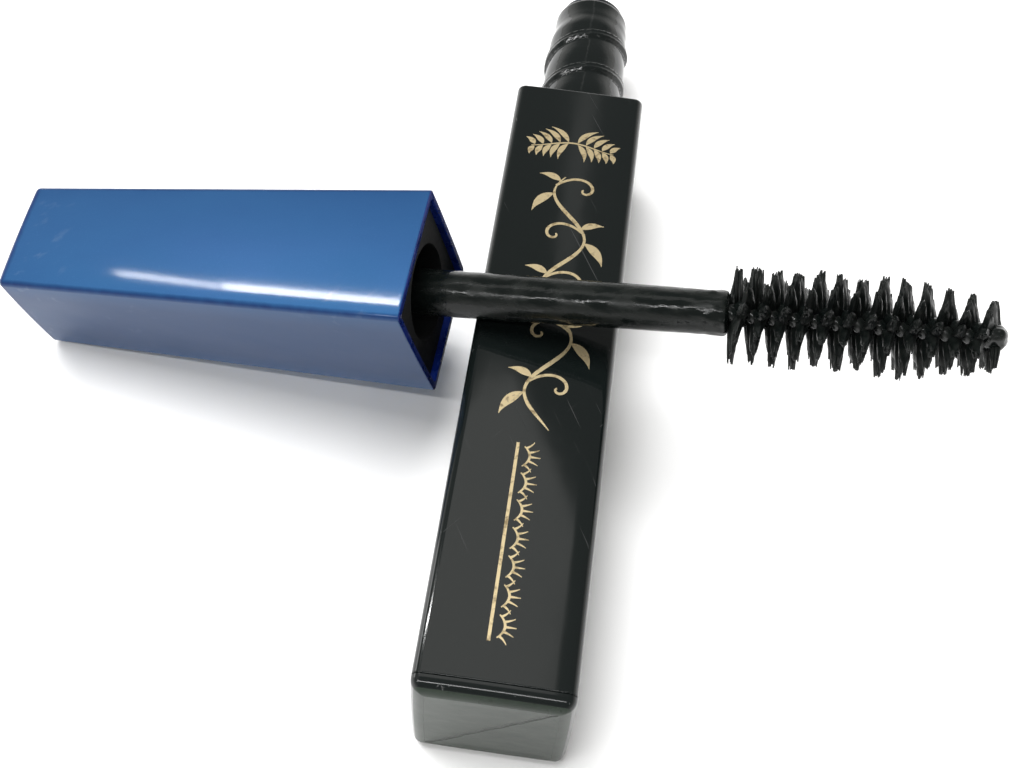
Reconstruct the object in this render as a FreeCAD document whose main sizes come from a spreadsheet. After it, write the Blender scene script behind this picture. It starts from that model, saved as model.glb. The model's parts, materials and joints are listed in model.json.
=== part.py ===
"""Square mascara tube with its cap and brush, laid open: a parametric assembly in millimetres.

The tube lies along +Y on the plane z = 0, with its origin at the centre of the tube's underside.
The cap, rod and brush lie across it along one wand axis, cap end on the plane and rod over the tube.
Every piece is drawn along its own local +Z and is then placed by one of two placements.
"""

import FreeCAD, Part
import Sketcher
import math
import os

os.makedirs("parts", exist_ok=True)
doc = FreeCAD.newDocument("MascaraTube")
Vector = FreeCAD.Vector

# ---------------------------------------------------------------- driving dimensions, in mm and degrees
DIMENSIONS = {
    # square sleeve and the plug that closes its base
    "sleeve_width": 15.0,
    "sleeve_length": 75.5,
    "sleeve_corner": 1.1,
    "sleeve_wall": 1.0,
    "shoulder_thickness": 1.3,
    "shoulder_round": 0.35,
    "plug_flange": 1.6,
    "plug_round": 1.0,
    "plug_depth": 6.0,
    "plug_wall": 1.2,
    "film_thickness": 0.12,
    "film_border": 1.4,
    "film_gap": 0.05,
    # round vial with its threaded neck
    "vial_radius": 6.2,
    "vial_wall": 0.9,
    "vial_floor": 1.2,
    "neck_radius": 4.9,
    "neck_length": 20.0,
    "neck_bore": 3.9,
    "land_length": 3.0,
    "land_step": 0.2,
    "rim_round": 0.6,
    "thread_pitch": 6.0,
    "thread_rise": 12.6,
    "thread_start": 2.0,
    "thread_height": 0.4,
    "thread_root": 1.5,
    "thread_crest": 0.8,
    "thread_sink": 0.3,
    # wiper and the paste below it
    "wiper_bore": 2.5,
    "wiper_lip": 3.2,
    "wiper_sleeve": 9.0,
    "wiper_flange": 0.8,
    "wiper_wall": 0.7,
    "well_radius": 3.5,
    "paste_floor": 6.0,
    "paste_headroom": 24.0,
    # cap shell and the liner moulded inside it
    "cap_length": 45.7,
    "cap_mouth_width": 15.6,
    "cap_end_width": 12.8,
    "cap_corner": 0.6,
    "cap_wall": 0.8,
    "liner_recess": 0.7,
    "liner_bore": 5.05,
    "liner_bore_depth": 20.6,
    "groove_depth": 0.5,
    "groove_width": 1.9,
    "groove_bottom": 1.1,
    "groove_start": 5.0,
    "groove_rise": 11.4,
    "socket_depth": 10.0,
    "seal_thickness": 1.0,
    # rod, wire and bristles
    "rod_root_radius": 2.45,
    "rod_tip_radius": 2.22,
    "rod_end_round": 0.5,
    "wire_radius": 0.55,
    "wire_anchor": 7.0,
    "brush_start": 76.1,
    "brush_length": 25.9,
    "brush_radius": 5.1,
    "brush_tip_radius": 3.7,
    "fin_share": 0.62,
    # how the cap and brush lie: closed end of the cap, and the turns of the wand axis
    "cap_end_x": -56.63,
    "cap_end_y": 7.76,
    "cap_end_z": 7.25,
    "wand_yaw": -4.74,
    "wand_pitch": -11.71,
    "wand_roll": 8.5,
    # gaps: between pieces that slide, between bonded pieces, and under the loose seal
    "fit_gap": 0.05,
    "seal_gap": 0.06,
    "bond_gap": 0.02,
    "seal_rest_gap": 0.1,
}
TURNS = 13
TAPERED_TURNS = 4

sheet = doc.addObject("Spreadsheet::Sheet", "Sizes")
for row, (word, size) in enumerate(DIMENSIONS.items(), start=1):
    sheet.set("A%d" % row, word)
    sheet.set("B%d" % row, str(size))
    sheet.setAlias("B%d" % row, word)
doc.recompute()


def size(word):
    """The number in the sheet's cell of that name."""
    return float(getattr(sheet, word))


def bind(feature, **expressions):
    """Binds each named property of the feature to an expression on the sheet."""
    for name, expression in expressions.items():
        feature.setExpression(name.replace("__", "."), expression)


# ---------------------------------------------------------------- the two placements
TUBE_PLACE = FreeCAD.Placement(
    Vector(0, -size("sleeve_length") / 2, size("sleeve_width") / 2),
    FreeCAD.Rotation(Vector(1, 0, 0), -90),
)
Z_TO_X = FreeCAD.Rotation(Vector(1, 1, 1), 120)
WAND_PLACE = FreeCAD.Placement(
    Vector(size("cap_end_x"), size("cap_end_y"), size("cap_end_z")),
    FreeCAD.Rotation(size("wand_yaw"), size("wand_pitch"), size("wand_roll")).multiply(Z_TO_X),
)


# ---------------------------------------------------------------- sketch helpers
def new_body(label):
    """A PartDesign body with that label."""
    body = doc.addObject("PartDesign::Body", label)
    body.Label = label
    return body


def origin_plane(body, role):
    """The body's own origin plane, such as XY_Plane."""
    return [f for f in body.Origin.OriginFeatures if f.Role == role][0]


def new_sketch(body, name, role="XY_Plane", height="0"):
    """A sketch on one of the body's origin planes, raised along the plane's normal."""
    sketch = body.newObject("Sketcher::SketchObject", name)
    sketch.AttachmentSupport = [(origin_plane(body, role), "")]
    sketch.MapMode = "FlatFace"
    sketch.setExpression("AttachmentOffset.Base.z", height)
    return sketch


def name_size(sketch, number, name, expression):
    """Names one dimension of the sketch and binds it to the sheet."""
    sketch.renameConstraint(number, name)
    sketch.setExpression("Constraints." + name, expression)


def circle_sketch(body, name, radius, height="0"):
    """A circle about the body's axis."""
    sketch = new_sketch(body, name, height=height)
    sketch.addGeometry(Part.Circle(Vector(0, 0, 0), Vector(0, 0, 1), 1.0), False)
    sketch.addConstraint(Sketcher.Constraint("Coincident", 0, 3, -1, 1))
    number = sketch.addConstraint(Sketcher.Constraint("Radius", 0, 1.0))
    name_size(sketch, number, "radius", radius)
    return sketch


def square_sketch(body, name, width, corner, height="0"):
    """A square with rounded corners about the body's axis."""
    sketch = new_sketch(body, name, height=height)
    flat, edge = 4.0, 5.0
    corners = [(flat, -flat), (flat, flat), (-flat, flat), (-flat, -flat)]
    sides = [
        ((-flat, -edge), (flat, -edge)),
        ((edge, -flat), (edge, flat)),
        ((flat, edge), (-flat, edge)),
        ((-edge, flat), (-edge, -flat)),
    ]
    for start, end in sides:
        sketch.addGeometry(Part.LineSegment(Vector(*start, 0), Vector(*end, 0)), False)
    for number, (x, y) in enumerate(corners):
        circle = Part.Circle(Vector(x, y, 0), Vector(0, 0, 1), edge - flat)
        first = math.radians(90 * number - 90)
        sketch.addGeometry(Part.ArcOfCircle(circle, first, first + math.pi / 2), False)
    for side in range(4):
        arc = 4 + side
        sketch.addConstraint(Sketcher.Constraint("Tangent", side, 2, arc, 1))
        sketch.addConstraint(Sketcher.Constraint("Tangent", arc, 2, (side + 1) % 4, 1))
        sketch.addConstraint(Sketcher.Constraint("Vertical" if side % 2 else "Horizontal", side))
    for arc in (5, 6, 7):
        sketch.addConstraint(Sketcher.Constraint("Equal", 4, arc))
    sketch.addConstraint(Sketcher.Constraint("Symmetric", 0, 1, 2, 1, -1, 1))
    across = sketch.addConstraint(Sketcher.Constraint("DistanceX", 3, 1, 1, 1, 2 * edge))
    name_size(sketch, across, "across", width)
    along = sketch.addConstraint(Sketcher.Constraint("DistanceY", 0, 1, 2, 1, 2 * edge))
    name_size(sketch, along, "along", width)
    rounding = sketch.addConstraint(Sketcher.Constraint("Radius", 4, edge - flat))
    name_size(sketch, rounding, "rounding", corner)
    return sketch


def tooth_sketch(body, name, foot, top, middle, foot_width, top_width):
    """A thread's section beside the body's axis: a trapezium from foot to top, about a middle height."""
    sketch = new_sketch(body, name, role="XZ_Plane")
    points = [Vector(4, 1, 0), Vector(5, 2, 0), Vector(5, 3, 0), Vector(4, 4, 0)]
    for number in range(4):
        sketch.addGeometry(Part.LineSegment(points[number], points[(number + 1) % 4]), False)
    for number in range(4):
        sketch.addConstraint(Sketcher.Constraint("Coincident", number, 2, (number + 1) % 4, 1))
    places = [
        (foot, "%s - (%s) / 2" % (middle, foot_width)),
        (top, "%s - (%s) / 2" % (middle, top_width)),
        (top, "%s + (%s) / 2" % (middle, top_width)),
        (foot, "%s + (%s) / 2" % (middle, foot_width)),
    ]
    for number, (across, up) in enumerate(places):
        point = points[number]
        out = sketch.addConstraint(Sketcher.Constraint("DistanceX", -1, 1, number, 1, point.x))
        name_size(sketch, out, "out%d" % number, across)
        rise = sketch.addConstraint(Sketcher.Constraint("DistanceY", -1, 1, number, 1, point.y))
        name_size(sketch, rise, "rise%d" % number, up)
    return sketch


# ---------------------------------------------------------------- feature helpers
def pad(body, name, sketch, length):
    """A pad of the sketch along the body's axis."""
    feature = body.newObject("PartDesign::Pad", name)
    feature.Profile = sketch
    feature.setExpression("Length", length)
    return feature


def pocket(body, name, sketch, length, upwards=True):
    """A pocket of the sketch, cut up or down the body's axis; it has to remove something."""
    doc.recompute()
    before = body.Shape.Volume
    feature = body.newObject("PartDesign::Pocket", name)
    feature.Profile = sketch
    feature.Reversed = upwards
    feature.setExpression("Length", length)
    doc.recompute()
    if body.Shape.Volume >= before - 1e-6:
        raise RuntimeError("%s cuts nothing" % name)
    return feature


def loft(body, name, low, high, kind="Additive"):
    """A straight loft, added or cut, between two sketches."""
    feature = body.newObject("PartDesign::%sLoft" % kind, name)
    feature.Profile = low
    feature.Sections = [high]
    feature.Ruled = True
    doc.recompute()
    return feature


def helix(body, name, sketch, pitch, rise, kind="Additive"):
    """A right-handed thread, added or cut, along the body's axis."""
    feature = body.newObject("PartDesign::%sHelix" % kind, name)
    feature.Profile = sketch
    feature.ReferenceAxis = (sketch, ["V_Axis"])
    feature.Mode = "pitch-height-angle"
    feature.setExpression("Pitch", pitch)
    feature.setExpression("Height", rise)
    doc.recompute()
    return feature


def edges_at(shape, height, axis_radius=None):
    """Names of the edges that lie flat at a height, or only the circle of one radius there."""
    names = []
    for number, edge in enumerate(shape.Edges, start=1):
        box = edge.BoundBox
        if abs(box.ZMin - height) > 1e-4 or abs(box.ZMax - height) > 1e-4:
            continue
        if axis_radius is None or abs(max(box.XMax, -box.XMin) - axis_radius) < 1e-3:
            names.append("Edge%d" % number)
    return names


def round_edges(body, name, edges, radius):
    """A fillet on the named edges of the body's newest feature."""
    feature = body.newObject("PartDesign::Fillet", name)
    feature.Base = (body.Tip if body.Tip != feature else feature.BaseFeature, edges)
    feature.setExpression("Radius", radius)
    doc.recompute()
    return feature


def tube_shape(name, outer, inner, length, bottom="0"):
    """A plain ring: one cylinder cut from another, from a bottom height up."""
    ring = doc.addObject("Part::Cut", name)
    for end, radius in (("Base", outer), ("Tool", inner)):
        cylinder = doc.addObject("Part::Cylinder", name + "_" + end)
        bind(cylinder, Radius=radius, Height=length, Placement__Base__z=bottom)
        setattr(ring, end, cylinder)
    return ring


# ---------------------------------------------------------------- square sleeve
def outer_sleeve():
    """The glossy square tube: open at its base, with a shoulder and a neck hole at its top."""
    body = new_body("outer_sleeve")
    length = "Sizes.sleeve_length - Sizes.plug_flange"
    start = "Sizes.plug_flange"
    outline = square_sketch(body, "SleeveOutline", "Sizes.sleeve_width", "Sizes.sleeve_corner", start)
    pad(body, "SleevePad", outline, length)
    inside = square_sketch(
        body, "SleeveInside", "Sizes.sleeve_width - 2 * Sizes.sleeve_wall", "Sizes.sleeve_corner / 2", start
    )
    pocket(body, "SleeveCavity", inside, length + " - Sizes.shoulder_thickness")
    hole = circle_sketch(body, "NeckHole", "Sizes.neck_radius + Sizes.fit_gap", start)
    pocket(body, "NeckHoleCut", hole, length)
    top = edges_at(body.Shape, size("sleeve_length"))
    outer_edges = [e for e in top if body.Shape.getElement(e).BoundBox.DiagonalLength > 0.5]
    hole_edges = edges_at(body.Shape, size("sleeve_length"), size("neck_radius") + size("fit_gap"))
    round_edges(body, "ShoulderRound", [e for e in outer_edges if e not in hole_edges], "Sizes.shoulder_round")
    return body


def base_plug():
    """The satin grey plug that closes the base: a flange as wide as the sleeve and a hollow spigot."""
    body = new_body("base_plug")
    flange = square_sketch(body, "FlangeOutline", "Sizes.sleeve_width", "Sizes.sleeve_corner")
    pad(body, "Flange", flange, "Sizes.plug_flange")
    doc.recompute()
    round_edges(body, "FlangeRound", edges_at(body.Shape, 0.0), "Sizes.plug_round")
    spigot_width = "Sizes.sleeve_width - 2 * Sizes.sleeve_wall - 2 * Sizes.fit_gap"
    spigot = square_sketch(body, "SpigotOutline", spigot_width, "Sizes.sleeve_corner / 2", "Sizes.plug_flange")
    pad(body, "Spigot", spigot, "Sizes.plug_depth")
    hollow = square_sketch(
        body,
        "SpigotHollow",
        spigot_width + " - 2 * Sizes.plug_wall",
        "Sizes.sleeve_corner / 4",
        "Sizes.plug_flange",
    )
    pocket(body, "SpigotCavity", hollow, "Sizes.plug_depth")
    recess = square_sketch(
        body, "FilmRecess", "Sizes.sleeve_width - 2 * Sizes.film_border + 2 * Sizes.film_gap", "Sizes.sleeve_corner / 2"
    )
    pocket(body, "FilmRecessCut", recess, "Sizes.film_thickness")
    return body


def end_label():
    """The thin film stuck in a shallow recess of the base plug."""
    body = new_body("end_label")
    outline = square_sketch(
        body, "FilmOutline", "Sizes.sleeve_width - 2 * Sizes.film_border", "Sizes.sleeve_corner / 2"
    )
    pad(body, "Film", outline, "Sizes.film_thickness")
    return body


# ---------------------------------------------------------------- round vial, wiper and paste
VIAL_FOOT = "(Sizes.plug_flange + Sizes.plug_depth + Sizes.fit_gap)"
SHOULDER = "(Sizes.sleeve_length - Sizes.shoulder_thickness - Sizes.fit_gap)"
RIM = "(Sizes.sleeve_length + Sizes.neck_length)"
LAND_FOOT = "(Sizes.sleeve_length + Sizes.neck_length - Sizes.rim_round - Sizes.land_length)"
LAND_RADIUS = "(Sizes.neck_radius - Sizes.land_step)"


def inner_vial():
    """The round vial that holds the paste, with a threaded neck that stands out of the sleeve."""
    body = new_body("inner_vial")
    barrel = circle_sketch(body, "BarrelCircle", "Sizes.vial_radius", VIAL_FOOT)
    pad(body, "Barrel", barrel, "%s - %s" % (SHOULDER, VIAL_FOOT))
    neck = circle_sketch(body, "NeckCircle", "Sizes.neck_radius", SHOULDER)
    pad(body, "Neck", neck, "%s - %s" % (LAND_FOOT, SHOULDER))
    land = circle_sketch(body, "LandCircle", LAND_RADIUS, LAND_FOOT)
    pad(body, "Land", land, "%s - %s" % (RIM, LAND_FOOT))
    doc.recompute()
    land_radius = size("neck_radius") - size("land_step")
    rim = edges_at(body.Shape, size("sleeve_length") + size("neck_length"), land_radius)
    round_edges(body, "RimRound", rim, "Sizes.rim_round")
    tooth = tooth_sketch(
        body,
        "ThreadSection",
        "Sizes.neck_radius - Sizes.thread_sink",
        "Sizes.neck_radius + Sizes.thread_height",
        "(Sizes.sleeve_length + Sizes.thread_start)",
        "Sizes.thread_root",
        "Sizes.thread_crest",
    )
    helix(body, "Thread", tooth, "Sizes.thread_pitch", "Sizes.thread_rise")
    cavity = circle_sketch(
        body, "CavityCircle", "Sizes.vial_radius - Sizes.vial_wall", VIAL_FOOT + " + Sizes.vial_floor"
    )
    pocket(
        body, "Cavity", cavity, "%s - %s - 2 * Sizes.vial_floor" % (SHOULDER, VIAL_FOOT)
    )
    bore = circle_sketch(body, "NeckBoreCircle", "Sizes.neck_bore", VIAL_FOOT + " + Sizes.vial_floor")
    pocket(body, "NeckBore", bore, "%s - %s" % (RIM, VIAL_FOOT))
    return body


def wiper():
    """The soft wiper pressed into the neck: flange, sleeve and the narrow lip that strips the rod."""
    sleeve_radius = "Sizes.neck_bore - Sizes.fit_gap"
    sleeve_foot = RIM + " - Sizes.wiper_sleeve"
    flange = doc.addObject("Part::Cylinder", "WiperFlange")
    bind(
        flange,
        Radius=LAND_RADIUS + " - Sizes.rim_round - Sizes.fit_gap",
        Height="Sizes.wiper_flange",
        Placement__Base__z=RIM,
    )
    sleeve = doc.addObject("Part::Cylinder", "WiperSleeve")
    bind(sleeve, Radius=sleeve_radius, Height="Sizes.wiper_sleeve", Placement__Base__z=sleeve_foot)
    throat = doc.addObject("Part::Cylinder", "WiperThroat")
    throat_foot = sleeve_foot + " + Sizes.wiper_lip"
    bind(
        throat,
        Radius=sleeve_radius + " - Sizes.wiper_wall",
        Height="Sizes.wiper_sleeve",
        Placement__Base__z=throat_foot,
    )
    orifice = doc.addObject("Part::Cylinder", "WiperOrifice")
    bind(orifice, Radius="Sizes.wiper_bore", Height="2 * Sizes.wiper_sleeve", Placement__Base__z=sleeve_foot)
    solid = doc.addObject("Part::Fuse", "WiperSolid")
    solid.Base, solid.Tool = flange, sleeve
    hollow = doc.addObject("Part::Fuse", "WiperHollow")
    hollow.Base, hollow.Tool = throat, orifice
    piece = doc.addObject("Part::Cut", "wiper")
    piece.Base, piece.Tool = solid, hollow
    return piece


def mascara_fill():
    """The paste left in the vial, with the well that the brush leaves down its middle."""
    foot = VIAL_FOOT + " + Sizes.vial_floor"
    block = doc.addObject("Part::Cylinder", "PasteBlock")
    bind(
        block,
        Radius="Sizes.vial_radius - Sizes.vial_wall - Sizes.bond_gap",
        Height="%s - %s - Sizes.paste_headroom" % (SHOULDER, VIAL_FOOT),
        Placement__Base__z=foot,
    )
    well = doc.addObject("Part::Cylinder", "PasteWell")
    bind(
        well,
        Radius="Sizes.well_radius",
        Height="Sizes.sleeve_length",
        Placement__Base__z=foot + " + Sizes.paste_floor",
    )
    piece = doc.addObject("Part::Cut", "mascara_fill")
    piece.Base, piece.Tool = block, well
    return piece


# ---------------------------------------------------------------- cap
def cap_width(height):
    """The cap's outer width at a height, as an expression: it tapers evenly to its closed end."""
    rise = "(Sizes.cap_mouth_width - Sizes.cap_end_width) / Sizes.cap_length"
    return "(Sizes.cap_end_width + %s * (%s))" % (rise, height)


def cap_shell():
    """The pearly blue shell: a square cup that narrows to its closed end."""
    body = new_body("cap_shell")
    wall = "Sizes.cap_wall"
    low = square_sketch(body, "EndOutline", "Sizes.cap_end_width", "Sizes.cap_corner")
    high = square_sketch(body, "MouthOutline", "Sizes.cap_mouth_width", "Sizes.cap_corner", "Sizes.cap_length")
    loft(body, "ShellOutside", low, high)
    inner_low = square_sketch(
        body, "InsideEnd", "%s - 2 * %s" % (cap_width(wall), wall), "Sizes.cap_corner / 2", wall
    )
    inner_high = square_sketch(
        body, "InsideMouth", "Sizes.cap_mouth_width - 2 * " + wall, "Sizes.cap_corner / 2", "Sizes.cap_length"
    )
    before = body.Shape.Volume
    loft(body, "ShellInside", inner_low, inner_high, kind="Subtractive")
    if body.Shape.Volume > 0.5 * before:
        raise RuntimeError("the cap shell isn't hollow")
    return body


BORE_FOOT = "(Sizes.cap_length - Sizes.liner_recess - Sizes.liner_bore_depth)"


def cap_liner():
    """The black liner in the cap: it carries the female thread and holds the rod in its socket."""
    body = new_body("cap_liner")
    foot = "(Sizes.cap_wall + Sizes.fit_gap)"
    top = "(Sizes.cap_length - Sizes.liner_recess)"
    inset = " - 2 * Sizes.cap_wall - 2 * Sizes.fit_gap"
    low = square_sketch(body, "LinerEnd", cap_width(foot) + inset, "Sizes.cap_corner / 2", foot)
    high = square_sketch(body, "LinerMouth", cap_width(top) + inset, "Sizes.cap_corner / 2", top)
    loft(body, "LinerBlock", low, high)
    bore = circle_sketch(body, "LinerBoreCircle", "Sizes.liner_bore", BORE_FOOT)
    pocket(body, "LinerBore", bore, "Sizes.cap_length")
    socket_foot = BORE_FOOT + " - Sizes.socket_depth"
    socket = circle_sketch(body, "SocketCircle", "Sizes.rod_root_radius + Sizes.bond_gap", socket_foot)
    pocket(body, "RodSocket", socket, "Sizes.cap_length")
    section = tooth_sketch(
        body,
        "GrooveSection",
        "Sizes.liner_bore - Sizes.thread_sink",
        "Sizes.liner_bore + Sizes.groove_depth",
        "(%s + Sizes.groove_start)" % BORE_FOOT,
        "Sizes.groove_width",
        "Sizes.groove_bottom",
    )
    before = body.Shape.Volume
    helix(body, "ThreadGroove", section, "Sizes.thread_pitch", "Sizes.groove_rise", kind="Subtractive")
    if body.Shape.Volume >= before:
        raise RuntimeError("the thread groove cuts nothing")
    return body


def cap_seal():
    """The loose sealing washer at the bottom of the liner's bore, round the rod."""
    return tube_shape(
        "cap_seal",
        "Sizes.liner_bore - Sizes.seal_gap",
        "Sizes.rod_root_radius + Sizes.seal_gap",
        "Sizes.seal_thickness",
        BORE_FOOT + " + Sizes.seal_rest_gap",
    )


# ---------------------------------------------------------------- rod and brush
def rod():
    """The rod, a little thinner towards the brush, with a rounded end and a hole for the wire."""
    body = new_body("rod")
    foot = "(%s - Sizes.socket_depth + Sizes.fit_gap)" % BORE_FOOT
    root = circle_sketch(body, "RodRoot", "Sizes.rod_root_radius", foot)
    mouth = "(Sizes.cap_length)"
    pad(body, "RodRootPad", root, "%s - %s" % (mouth, foot))
    low = circle_sketch(body, "RodMouth", "Sizes.rod_root_radius", mouth)
    high = circle_sketch(body, "RodTip", "Sizes.rod_tip_radius", "Sizes.brush_start")
    loft(body, "RodTaper", low, high)
    tip = edges_at(body.Shape, size("brush_start"), size("rod_tip_radius"))
    round_edges(body, "RodEndRound", tip, "Sizes.rod_end_round")
    hole = circle_sketch(
        body, "WireHole", "Sizes.wire_radius + Sizes.bond_gap", "Sizes.brush_start - Sizes.wire_anchor"
    )
    pocket(body, "WireHoleCut", hole, "2 * Sizes.wire_anchor")
    return body


def wire_core():
    """The folded and twisted wire that grips the bristles, shown as one round core with a domed tip."""
    body = new_body("wire_core")
    circle = circle_sketch(
        body, "WireCircle", "Sizes.wire_radius", "Sizes.brush_start - Sizes.wire_anchor + Sizes.fit_gap"
    )
    pad(body, "Wire", circle, "Sizes.wire_anchor + Sizes.brush_length - Sizes.fit_gap")
    doc.recompute()
    tip = edges_at(body.Shape, size("brush_start") + size("brush_length"))
    round_edges(body, "WireDome", tip, "Sizes.wire_radius * 0.9")
    return body


def bristle_turn(number):
    """One turn of the bristle spiral, as a closed round fin on the wire."""
    pitch = "(Sizes.brush_length / %d)" % TURNS
    foot = "Sizes.brush_start + %s * %g" % (pitch, number - 1 + 0.25)
    fall = "(Sizes.brush_radius - Sizes.brush_tip_radius) / %d" % TAPERED_TURNS
    tapered = max(0, number - (TURNS - TAPERED_TURNS))
    outer = "Sizes.brush_radius - %s * %d" % (fall, tapered)
    height = "%s * Sizes.fin_share" % pitch
    return tube_shape("bristle_turn_%02d" % number, outer, "Sizes.wire_radius + Sizes.bond_gap", height, foot)


# ---------------------------------------------------------------- assembly
tube_pieces = [outer_sleeve(), base_plug(), end_label(), inner_vial(), wiper(), mascara_fill()]
wand_pieces = [cap_shell(), cap_liner(), cap_seal(), rod(), wire_core()]
wand_pieces += [bristle_turn(number) for number in range(1, TURNS + 1)]
doc.recompute()
for pieces, place in ((tube_pieces, TUBE_PLACE), (wand_pieces, WAND_PLACE)):
    for piece in pieces:
        piece.Placement = place
doc.recompute()

# ---------------------------------------------------------------- checks and export
for item in doc.Objects:
    if "Invalid" in item.State or "Error" in item.State:
        raise RuntimeError("%s: %s" % (item.Name, item.State))
for piece in tube_pieces + wand_pieces:
    shape = piece.Shape
    if shape.isNull() or not shape.isValid() or len(shape.Solids) != 1:
        raise RuntimeError("%s isn't one valid solid" % piece.Label)
    box = shape.BoundBox
    print(
        "%-17s %9.2f mm3  x %7.2f %7.2f  y %7.2f %7.2f  z %6.2f %6.2f"
        % (piece.Label, shape.Volume, box.XMin, box.XMax, box.YMin, box.YMax, box.ZMin, box.ZMax)
    )
    shape.exportStep("parts/%s.step" % piece.Label)
axis = WAND_PLACE.Rotation.multVec(Vector(0, 0, 1))
print("wand axis %.7f %.7f %.7f" % tuple(axis), "through", tuple(WAND_PLACE.Base))
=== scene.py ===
"""Looks for the square mascara tube with its cap and brush laid open across it.

Every class below builds one sub-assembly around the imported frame. Shapes are worked out in
millimetres in an axial frame, whose X runs along the tube or along the wand, and each finished
piece is placed in the row's frame in metres.
"""

import json
import logging
import math
from dataclasses import dataclass, field
from enum import Enum
from typing import Sequence

import bmesh
import bpy
import numpy as np
from mathutils import Matrix, Vector, noise

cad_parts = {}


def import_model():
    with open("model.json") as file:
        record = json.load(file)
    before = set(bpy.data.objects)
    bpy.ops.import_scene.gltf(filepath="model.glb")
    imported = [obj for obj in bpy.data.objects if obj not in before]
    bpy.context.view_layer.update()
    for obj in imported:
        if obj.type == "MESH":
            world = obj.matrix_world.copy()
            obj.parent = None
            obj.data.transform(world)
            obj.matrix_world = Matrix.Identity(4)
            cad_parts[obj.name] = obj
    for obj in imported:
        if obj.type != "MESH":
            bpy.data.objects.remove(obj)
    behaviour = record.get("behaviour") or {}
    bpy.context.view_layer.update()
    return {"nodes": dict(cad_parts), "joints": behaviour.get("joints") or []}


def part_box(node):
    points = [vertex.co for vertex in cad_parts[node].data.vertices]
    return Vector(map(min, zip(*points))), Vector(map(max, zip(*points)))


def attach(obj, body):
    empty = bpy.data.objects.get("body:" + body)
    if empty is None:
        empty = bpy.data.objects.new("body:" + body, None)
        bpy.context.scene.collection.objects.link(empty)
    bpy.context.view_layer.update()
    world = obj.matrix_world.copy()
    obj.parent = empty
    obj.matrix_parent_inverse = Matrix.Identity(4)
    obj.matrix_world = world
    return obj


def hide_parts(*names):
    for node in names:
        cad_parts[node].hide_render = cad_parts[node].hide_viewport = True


LOG = logging.getLogger("mascara_tube")
MM = 0.001
FULL_TURN = 2.0 * math.pi
SHARP_EDGE = math.radians(38.0)
CAP_ROLL = math.radians(8.5)

Ring = np.ndarray
Socket = bpy.types.NodeSocket
Material = bpy.types.Material
Piece = bpy.types.Object
Point = tuple[float, float, float]
Colour = tuple[float, float, float]
FoilStrip = tuple[list, list]


class Body(Enum):
    """The bodies of the frame that pieces ride on."""

    TUBE = "tube"
    APPLICATOR = "applicator"


class ThreadHand(Enum):
    """Which way a helix climbs."""

    RIGHT = 1.0
    LEFT = -1.0


# ---------------------------------------------------------------------------------------- frames
@dataclass(frozen=True)
class AxialFrame:
    """A frame whose X is the axis of a sub-assembly, with stations along it in millimetres."""

    matrix: Matrix

    def place(self, mesh: bpy.types.Mesh) -> None:
        """Moves a mesh made in millimetres into the row's frame, in metres."""
        mesh.transform(self.matrix @ Matrix.Scale(MM, 4))

    @classmethod
    def of_tube(cls) -> "AxialFrame":
        """The tube's frame: X runs from the base face to the neck, and Z is up."""
        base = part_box("base_plug")[0]
        sleeve_low, sleeve_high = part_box("outer_sleeve")
        middle = (sleeve_low.z + sleeve_high.z) / 2
        return cls(Matrix.Translation((0.0, base.y, middle)) @ Matrix.Rotation(math.pi / 2, 4, "Z"))

    @classmethod
    def of_wand(cls, joints: Sequence[dict], roll: float) -> "AxialFrame":
        """The wand's frame, from the joint that turns the cap.

        Args:
            joints: the frame's joints.
            roll: how far the cap is turned about the wand's axis, in radians.

        Returns:
            The frame, with X from the cap's closed end towards the brush.
        """
        turn = next(joint for joint in joints if joint["name"] == "cap_turn")
        axis = Vector(turn["axis"]).normalized()
        yaw = Matrix.Rotation(math.atan2(axis.y, axis.x), 4, "Z")
        pitch = Matrix.Rotation(-math.asin(axis.z), 4, "Y")
        return cls(Matrix.Translation(turn["pos_m"]) @ yaw @ pitch @ Matrix.Rotation(roll, 4, "X"))


# ---------------------------------------------------------------------------------------- meshes
def rounded_square(half: float, corner: float, crown: float = 0.0, arc: int = 8, side: int = 10) -> Ring:
    """Points round a square whose corners are arcs and whose sides bow out a little.

    Args:
        half: half the width across the middle of the sides.
        corner: radius of the corners.
        crown: how much lower a side is at its ends than in its middle.
        arc: steps in each corner.
        side: steps along each side.

    Returns:
        An array of (y, z) points, turning from +Y towards +Z.
    """
    flat = half - crown - corner
    points = []
    for quarter in range(4):
        turn = quarter * math.pi / 2
        cosine, sine = math.cos(turn), math.sin(turn)
        local = []
        for step in range(side):
            share = -1.0 + 2.0 * step / side
            local.append((half - crown * share * share, flat * share))
        for step in range(arc):
            angle = step / arc * math.pi / 2
            local.append((flat + corner * math.cos(angle), flat + corner * math.sin(angle)))
        points += [(y * cosine - z * sine, y * sine + z * cosine) for y, z in local]
    return np.array(points)


def polar(radius: float | np.ndarray, angles: np.ndarray) -> Ring:
    """(y, z) points at a distance from the axis and at angles round it."""
    return np.column_stack((radius * np.cos(angles), radius * np.sin(angles)))


def even_angles(steps: int) -> np.ndarray:
    """Evenly spaced angles round the axis."""
    return np.arange(steps) * FULL_TURN / steps


def circle_like(ring: Ring, radius: float) -> Ring:
    """A circle with one point at the polar angle of each of the ring's points."""
    return polar(radius, np.arctan2(ring[:, 1], ring[:, 0]))


def at_station(ring: Ring, station: float) -> np.ndarray:
    """The ring's points in three dimensions, at one station along the axis."""
    return np.column_stack((np.full(len(ring), station), ring))


def smoothstep(low: float, high: float, value: np.ndarray | float) -> np.ndarray | float:
    """Rises smoothly from 0 at low to 1 at high."""
    share = np.clip((value - low) / (high - low), 0.0, 1.0)
    return share * share * (3.0 - 2.0 * share)


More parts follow.
